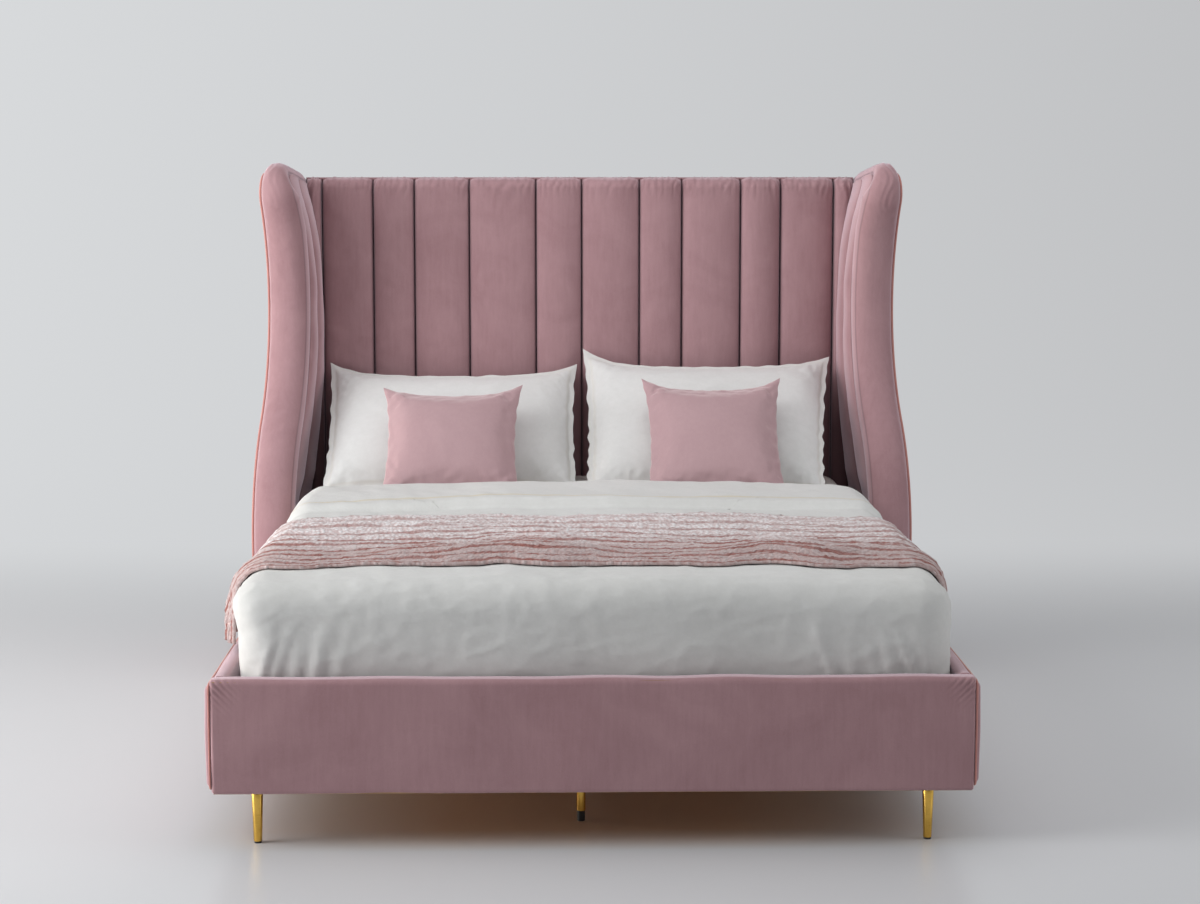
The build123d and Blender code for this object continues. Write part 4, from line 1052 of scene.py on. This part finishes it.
def duvetTop(d, x, y):
    # Height of the top: flat crown, a lip at the turned-back band, shallow puffs
    band = ease(d["bandFront"] - 0.004, d["bandFront"] + 0.022, y)
    lip = 0.003 * bell(y - d["bandFront"] - 0.026, 0.016)
    lip -= 0.002 * bell(y - d["bandFront"] + 0.008, 0.008)
    hem = 0.0014 * bell(y - 0.092, 0.004) - 0.0016 * bell(y - 0.101, 0.003)
    flat = together(x, y)
    puff = d["puff"] * ripple(flat, 0.42, 81) + d["finePuff"] * ripple(flat, 0.09, 82)
    across = np.clip(1 - (x / d["half"]) ** 2, 0, 1)
    crown = (0.010 + 0.008 * band) * across - 0.004 - 0.006 * band
    return d["top"] + (d["bandRise"] - 0.003) * band + lip + hem + puff + crown


def duvetSurface(d):
    # Rings from the middle of the top outwards, over the rounded edge, down to the hem, and back inside
    columns = 560
    loop, out = ringAround(d["half"], d["front"], d["rear"], d["corner"], columns)
    middle = np.array([0, (d["front"] + d["rear"]) / 2])
    rear = ease(0.30, 0.55, out[:, 1]) * ease(0.80, 0.70, np.abs(loop[:, 0]))
    edge = d["edge"] * (1 - rear) + d["rearEdge"] * rear
    hem = d["hem"] * (1 - rear) + (d["liningTop"] + 0.0005) * rear
    turn = np.linspace(0, math.pi / 2, 22)
    scale = np.linspace(0.01, 1, 74)[:-1]
    rim = loop - out * edge[:, None]
    flat = [middle + (rim - middle) * k for k in scale]
    lean = [np.zeros(columns)] * len(scale)
    drop = [np.zeros(columns)] * len(scale)
    for a in turn:
        flat.append(loop - out * (edge * (1 - math.sin(a)))[:, None])
        lean.append(np.full(columns, math.sin(a)))
        drop.append(edge * (1 - math.cos(a)))
    flat, lean, drop = np.array(flat), np.array(lean), np.array(drop)
    z = duvetTop(d, flat[..., 0], flat[..., 1]) - drop
    share = np.linspace(0, 1, 26)[1:, None]
    low = z[-1][None] * (1 - share) + hem[None] * share
    hang = np.broadcast_to(loop[None], (25, columns, 2))
    flat = np.concatenate([flat, hang])
    z = np.concatenate([z, low])
    lean = np.concatenate([lean, np.ones((25, columns))])
    # Relief: hanging folds that grow downwards, soft swags and creases
    grow = ease(d["top"] - 0.02, d["hem"] + 0.03, z) * (1 - rear)
    fold = np.zeros(z.shape)
    rng = np.random.default_rng(d["foldSeed"])
    for place in d["frontFolds"]:
        slant, wide, start = rng.uniform(0.10, 0.42), rng.uniform(0.006, 0.011), rng.uniform(0.42, 0.53)
        slanted = place * d["half"] - slant * np.sign(place) * (z - d["hem"])
        slanted = slanted + 0.004 * np.sin(30 * z + rng.uniform(0, 6))
        lobe = bell(flat[..., 0] - slanted, wide)
        fold += rng.uniform(0.6, 1.1) * lobe * ease(start + 0.03, start - 0.06, z) * (out[None, :, 1] < -0.3)
    cornerEnd = d["front"] + d["corner"]
    for place in d["sideFolds"]:
        y = cornerEnd + place * (d["throwFront"] - d["front"] - d["corner"])
        fold += bell(flat[..., 1] - y, 0.013) * (np.abs(out[None, :, 0]) > 0.6)
    around = np.concatenate([flat, z[..., None]], -1)
    swag = d["swag"] * ripple(around * np.array([1, 1, 0.7]), 0.34, 84) * ease(0.0, 0.5, lean)
    small = d["edgeCrease"] * crease(around, 0.16, 86) * ease(0.0, 0.4, lean)
    small += d["fineCrease"] * crease(around * np.array([1, 1, 1.3]), 0.08, 88, 0.3) * ease(0.1, 0.6, lean)
    small += d["fineRipple"] * ripple(around, 0.05, 89)
    small += d["topCrease"] * crease(around, 0.35, 87) * (1 - ease(0.0, 0.4, lean))
    push = d["foldDepth"] * fold * grow + (swag + small) * (1 - 0.8 * rear)
    push *= 1 - 0.85 * ease(d["hem"] + 0.035, d["hem"], z) * (1 - fold.clip(0, 1))
    flat = flat + out[None] * (push * lean)[..., None]
    z = z + push * np.sqrt(np.clip(1 - lean ** 2, 0, 1))
    flat[..., 0] = np.clip(flat[..., 0], -d["reach"], d["reach"])
    pulled = ease(-0.66, -0.76, flat[..., 0]) * ease(0.535, 0.44, z) * ease(-0.77, -0.88, flat[..., 1])
    flat[..., 0] += d["leftPull"] * pulled
    # Inside: up the lining and over the mattress to the middle
    lining, _ = ringAround(d["lining"], d["liningFront"], d["rear"] - 0.02, 0.061, columns)
    inside = np.stack([lining, lining, middle + (lining - middle) * 0.5, middle + (lining - middle) * 0.02])
    rise = np.stack([hem, *[np.full(columns, d["liningTop"])] * 3])
    flat = np.concatenate([flat, inside])
    z = np.concatenate([z, rise])
    # Painted shade along the hem of the turned-back band
    paintedHemShade = d["hemShade"] * bell(flat[..., 1] - d["hemPlace"], d["hemWidth"])
    return closedTube(np.concatenate([flat, z[..., None]], -1)), paintedHemShade


duvetShape, duvetPaintedShade = duvetSurface(duvet)
addPiece("duvetQuilt", duvetShape, "duvetCotton", "mattress_and_bedding", "duvet", paintedShade=duvetPaintedShade)
print("stage: duvet")


# Throw: a knitted sheet over the duvet, hanging down both sides

throw = {
    "half": 0.7785, "edge": 0.072, "top": 0.5635, "back": -0.160, "front": -0.860, "drop": 0.178,
    "thickness": 0.0045, "ribHeight": 0.0040, "crowding": 1.0, "flat": (1.86, 0.78), "bunch": 0.022,
    "rows": 250, "columns": 160, "knot": 0.0011, "highest": 0.034,
    "crests": ((0.955, 0.030, 0.009), (0.865, 0.042, 0.017), (0.755, 0.040, 0.013), (0.63, 0.035, 0.009),
               (0.50, 0.03, 0.007), (0.38, 0.028, 0.006), (0.26, 0.028, 0.005), (0.14, 0.025, 0.004)),
}


def throwSurface(t):
    # Along: an arch over the bed and down its sides. Across: ribs, long soft ripples, wavy edges
    straight = t["drop"] - t["edge"]
    quarter = math.pi / 2 * t["edge"]
    flatRun = 2 * (t["half"] - t["edge"])
    total = 2 * (straight + quarter) + flatRun
    s = np.linspace(0, total, t["rows"])
    a = np.clip((s - straight) / t["edge"], 0, math.pi / 2)
    b = np.clip((s - straight - quarter - flatRun) / t["edge"], 0, math.pi / 2)
    edge = t["edge"]
    x = -t["half"] + edge * (1 - np.cos(a)) + np.clip(s - straight - quarter, 0, flatRun) + edge * np.sin(b)
    z = (t["top"] - t["drop"] + np.minimum(s, straight) + edge * np.sin(a) - edge * (1 - np.cos(b))
         - np.maximum(s - straight - 2 * quarter - flatRun, 0))
    nx = -np.cos(a) * (s < total / 2) + np.sin(b)
    nz = np.sqrt(np.clip(1 - nx ** 2, 0, 1))
    w = np.linspace(0, 1, t["columns"])
    ss, ww = np.meshgrid(s, w, indexing="ij")
    left = ease(straight + quarter, 0, s)[:, None]
    hang = left + ease(total - straight - quarter, total, s)[:, None]
    cloth = together(ss, ww * 0.7)
    closer = ww + t["crowding"] * np.clip(ww - 0.45, 0, 1) ** 2
    row = closer * t["flat"][1] + 0.010 * ripple(together(ss, 0 * ss), 0.8, 98)
    row = row + 0.004 * ripple(cloth, 0.16, 99)
    uv = together(ss, row)
    backEdge = t["back"] + 0.006 * ripple(s[:, None], 0.35, 91)[:, None] - 0.10 * left
    frontEdge = t["front"] + 0.010 * ripple(s[:, None], 0.33, 92)[:, None] + 0.05 * hang
    y = backEdge * (1 - ww) + frontEdge * ww
    bend = ww + 0.030 * ripple(together(ss, 0 * ss), 0.75, 93) + 0.012 * ripple(cloth, 0.3, 97)
    crest = 0
    for middle, wide, tall in t["crests"]:
        crest = crest + tall * bell(bend - middle, wide)
    crest = crest * np.clip(1 + 0.55 * ripple(cloth * np.array([1, 0.6]), 0.45, 94), 0.15, 1.6)
    crest = crest * ease(1.0, 0.955, ww) * ease(0.0, 0.03, ww)
    crest += left * 0.008 * (0.5 + 0.5 * np.sin(math.tau * (ww * 5.2 + 0.1)))
    crest += t["bunch"] * left * bell(ww - 0.86, 0.10)
    lift = np.clip(crest, 0, t["highest"]) + 0.0006 * ripple(cloth, 0.05, 95)
    rib = t["ribHeight"] * np.abs(np.sin(math.pi * row / knit["rowPitch"])) ** 0.7
    knot = t["knot"] * ripple(cloth, 0.013, 96, waves=24)
    high = np.clip(lift, 0.0002, 0.036)
    outer = high + t["thickness"] + rib + knot
    bed = duvetTop(duvet, np.broadcast_to(x[:, None], y.shape), y) - duvet["top"]
    base = z[:, None] + bed * nz[:, None] ** 3
    sheets = [together(x[:, None] + nx[:, None] * f, y, base + nz[:, None] * f) for f in (outer, high)]
    return closedShell(*sheets), np.tile(uv.reshape(-1, 2), (2, 1))


throwShape, throwUv = throwSurface(throw)
knitted = addPiece("knittedThrow", throwShape, "throwKnit", "mattress_and_bedding", "throw", uv=throwUv)
print("stage: throw")


# Pillows and cushions

pillow = {
    "width": 0.722, "height": 0.490, "half": 0.068, "draw": 0.008, "border": 0.014, "lean": 40.0,
    "full": 2.6, "cap": 0.010, "seed": 101, "rows": 66, "columns": 92, "slack": 0.001, "frill": 0.0024,
    "fold": 0.004, "shift": {1: 0.006, -1: 0.011}, "innerEar": {1: 0.054, -1: 0.028},
    "outerEar": {1: 0.020, -1: 0.034}, "taller": {1: 0.032, -1: -0.010}, "tuck": {1: 0.052, -1: 0.004},
}
cushion = {
    "width": 0.388, "height": 0.376, "half": 0.057, "draw": 0.015, "border": 0.0, "lean": 46.0,
    "full": 2.2, "cap": 0.008, "seed": 131, "rows": 58, "columns": 60, "slack": 0.006, "frill": 0.001,
    "fold": 0.0012, "shift": {1: 0.0, -1: 0.0}, "innerEar": {1: 0.018, -1: 0.014},
    "outerEar": {1: 0.020, -1: 0.006}, "taller": {1: 0.034, -1: 0.012}, "tuck": {1: 0.0, -1: 0.0},
}
bags = {
    "pressure": 4.0, "frames": 20, "mass": 0.3, "stretch": 15, "bending": 0.5, "sideEar": 0.004,
    # The seam shade value sets painted shade along the pillows' seam
    "restGap": 0.0002, "seam": 0.0012, "pucker": 0.0026, "cornerFold": 0.0055, "seamShade": 0.3,
}


def bagSurface(b, seed, side):
    # Two sheets over one seam: sides drawn in by draw*(1 - t^2), half depth ((1-|a|^n) (1-|b|^n))^0.62,
    # with puckers square to the seam and creases running out of the corners
    lines = [np.sin(np.linspace(-math.pi / 2, math.pi / 2, b[key])) for key in ("rows", "columns")]
    cc, aa = np.meshgrid(*lines, indexing="ij")
    high = b["height"] + b["taller"][side]
    x = aa * (b["width"] / 2 - b["draw"] * (1 - cc ** 2))
    x = x - side * b["tuck"][side] * np.clip(side * aa, 0, 1) ** 2 * (0.5 - 0.5 * cc)
    y = cc * (high / 2 - (b["draw"] + 0.008) * (1 - aa ** 2))
    inward, upper = -side * aa, np.clip(cc, 0, 1)
    ear = b["innerEar"][side] * np.clip(inward, 0, 1) ** 5 + b["outerEar"][side] * np.clip(-inward, 0, 1) ** 5
    y = y + ear * upper ** 2.5
    x = x + bags["sideEar"] * np.sign(aa) * np.abs(aa) ** 5 * upper ** 6
    x = x + b["frill"] * ripple(cc[..., None], 0.30, seed + 3) * np.abs(aa) ** 10 * (1 - cc ** 8)
    y = y + 0.7 * b["frill"] * ripple(aa[..., None], 0.26, seed + 4) * np.abs(cc) ** 10 * (1 - aa ** 8)
    ia = np.clip(np.abs(aa) / (1 - b["border"] / (b["width"] / 2)), 0, 1)
    ic = np.clip(np.abs(cc) / (1 - b["border"] / (b["height"] / 2)), 0, 1)
    body = ((1 - ia ** b["full"]) * (1 - ic ** b["full"])) ** 0.62
    rim = bell(np.minimum(b["width"] / 2 - np.abs(x), b["height"] / 2 - np.abs(y)), 0.05)
    flat = together(x, y)
    sheets = []
    for way in (1, -1):
        pucker = bags["pucker"] * rim * ripple(flat, 0.034, seed + way) * (body > 0)
        corner = np.clip(np.abs(aa) * np.abs(cc) * 1.6 - 0.6, 0, 1)
        across = together(x * np.sign(cc) * np.sign(aa) + y, 0.25 * x)
        fold = b["fold"] * crease(flat * np.array([1.0, 1.4]), 0.3, seed + 5 + way) * body
        fold = fold + bags["cornerFold"] * corner * ripple(across, 0.05, seed + 9) * np.minimum(body * 3, 1)
        z = way * (bags["seam"] + b["half"] * body + np.minimum(body * 4, 1) * (pucker + fold - 0.002))
        sheets.append(together(x, y, z))
    # Painted shade along the pillow's seam
    seam = bell(np.minimum(1 - ia, 1 - ic) - 0.012, 0.012) * (b["border"] > 0)
    return closedShell(*sheets), bags["seamShade"] * seam


def blownUp(b, shape):
    # Cloth under pressure with no gravity, each point held within the cap of where it started
    points, faces = shape
    bag = addObject("blown", (points, facesOut(points, faces)))
    cloth = bag.modifiers.new("cloth", "CLOTH")
    cloth.settings.quality = 6
    cloth.settings.mass = bags["mass"]
    cloth.settings.tension_stiffness = bags["stretch"]
    cloth.settings.compression_stiffness = bags["stretch"]
    cloth.settings.bending_stiffness = bags["bending"]
    cloth.settings.use_pressure = True
    cloth.settings.uniform_pressure_force = bags["pressure"]
    cloth.settings.effector_weights.gravity = 0
    cloth.point_cache.frame_start = 1
    cloth.point_cache.frame_end = bags["frames"]
    scene = bpy.context.scene
    for step in range(1, bags["frames"] + 1):
        scene.frame_set(step)
    held = bag.evaluated_get(bpy.context.evaluated_depsgraph_get()).data
    moved = np.zeros(len(held.vertices) * 3)
    held.vertices.foreach_get("co", moved)
    shift = moved.reshape(-1, 3) - points
    far = np.linalg.norm(shift, axis=1, keepdims=True)
    shift *= np.minimum(1, b["cap"] / np.maximum(far, 1e-9))
    scene.frame_set(1)
    bpy.data.objects.remove(bag)
    return points + shift, faces


def stood(b, points, want, node, gap):
    # Scales the bag to its sizes, leans it back and stands it where the CAD node stands
    low, high = points.min(0), points.max(0)
    points = (points - (low + high) / 2) * want / (high - low)
    a = math.radians(b["lean"])
    y = points[:, 1] * math.cos(a) - points[:, 2] * math.sin(a)
    z = points[:, 1] * math.sin(a) + points[:, 2] * math.cos(a)
    nodeLow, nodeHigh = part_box(node)
    x = points[:, 0] + (nodeLow.x + nodeHigh.x) / 2
    y = y - y.max() + nodeHigh.y - b["slack"]
    z = z - z.min() + nodeLow.z + gap
    return np.stack([x, y, z], 1)


for kind, values, look in (("pillow", pillow, "pillowCotton"), ("cushion", cushion, "cushionVelvet")):
    for side, word in sides:
        bag, bagPaintedShade = bagSurface(values, values["seed"] + 10 * side, side)
        points, faces = blownUp(values, bag)
        want = bag[0].max(0) - bag[0].min(0)
        points = stood(values, points, want, f"{kind}_{word}", bags["restGap"])
        points[:, 0] += side * values["shift"][side]
        addPiece(f"{kind}Bag_{word}", (points, faces), look, f"{kind}_{word}_body", f"{kind}_{word}",
                 paintedShade=bagPaintedShade)
print("stage: pillows and cushions")
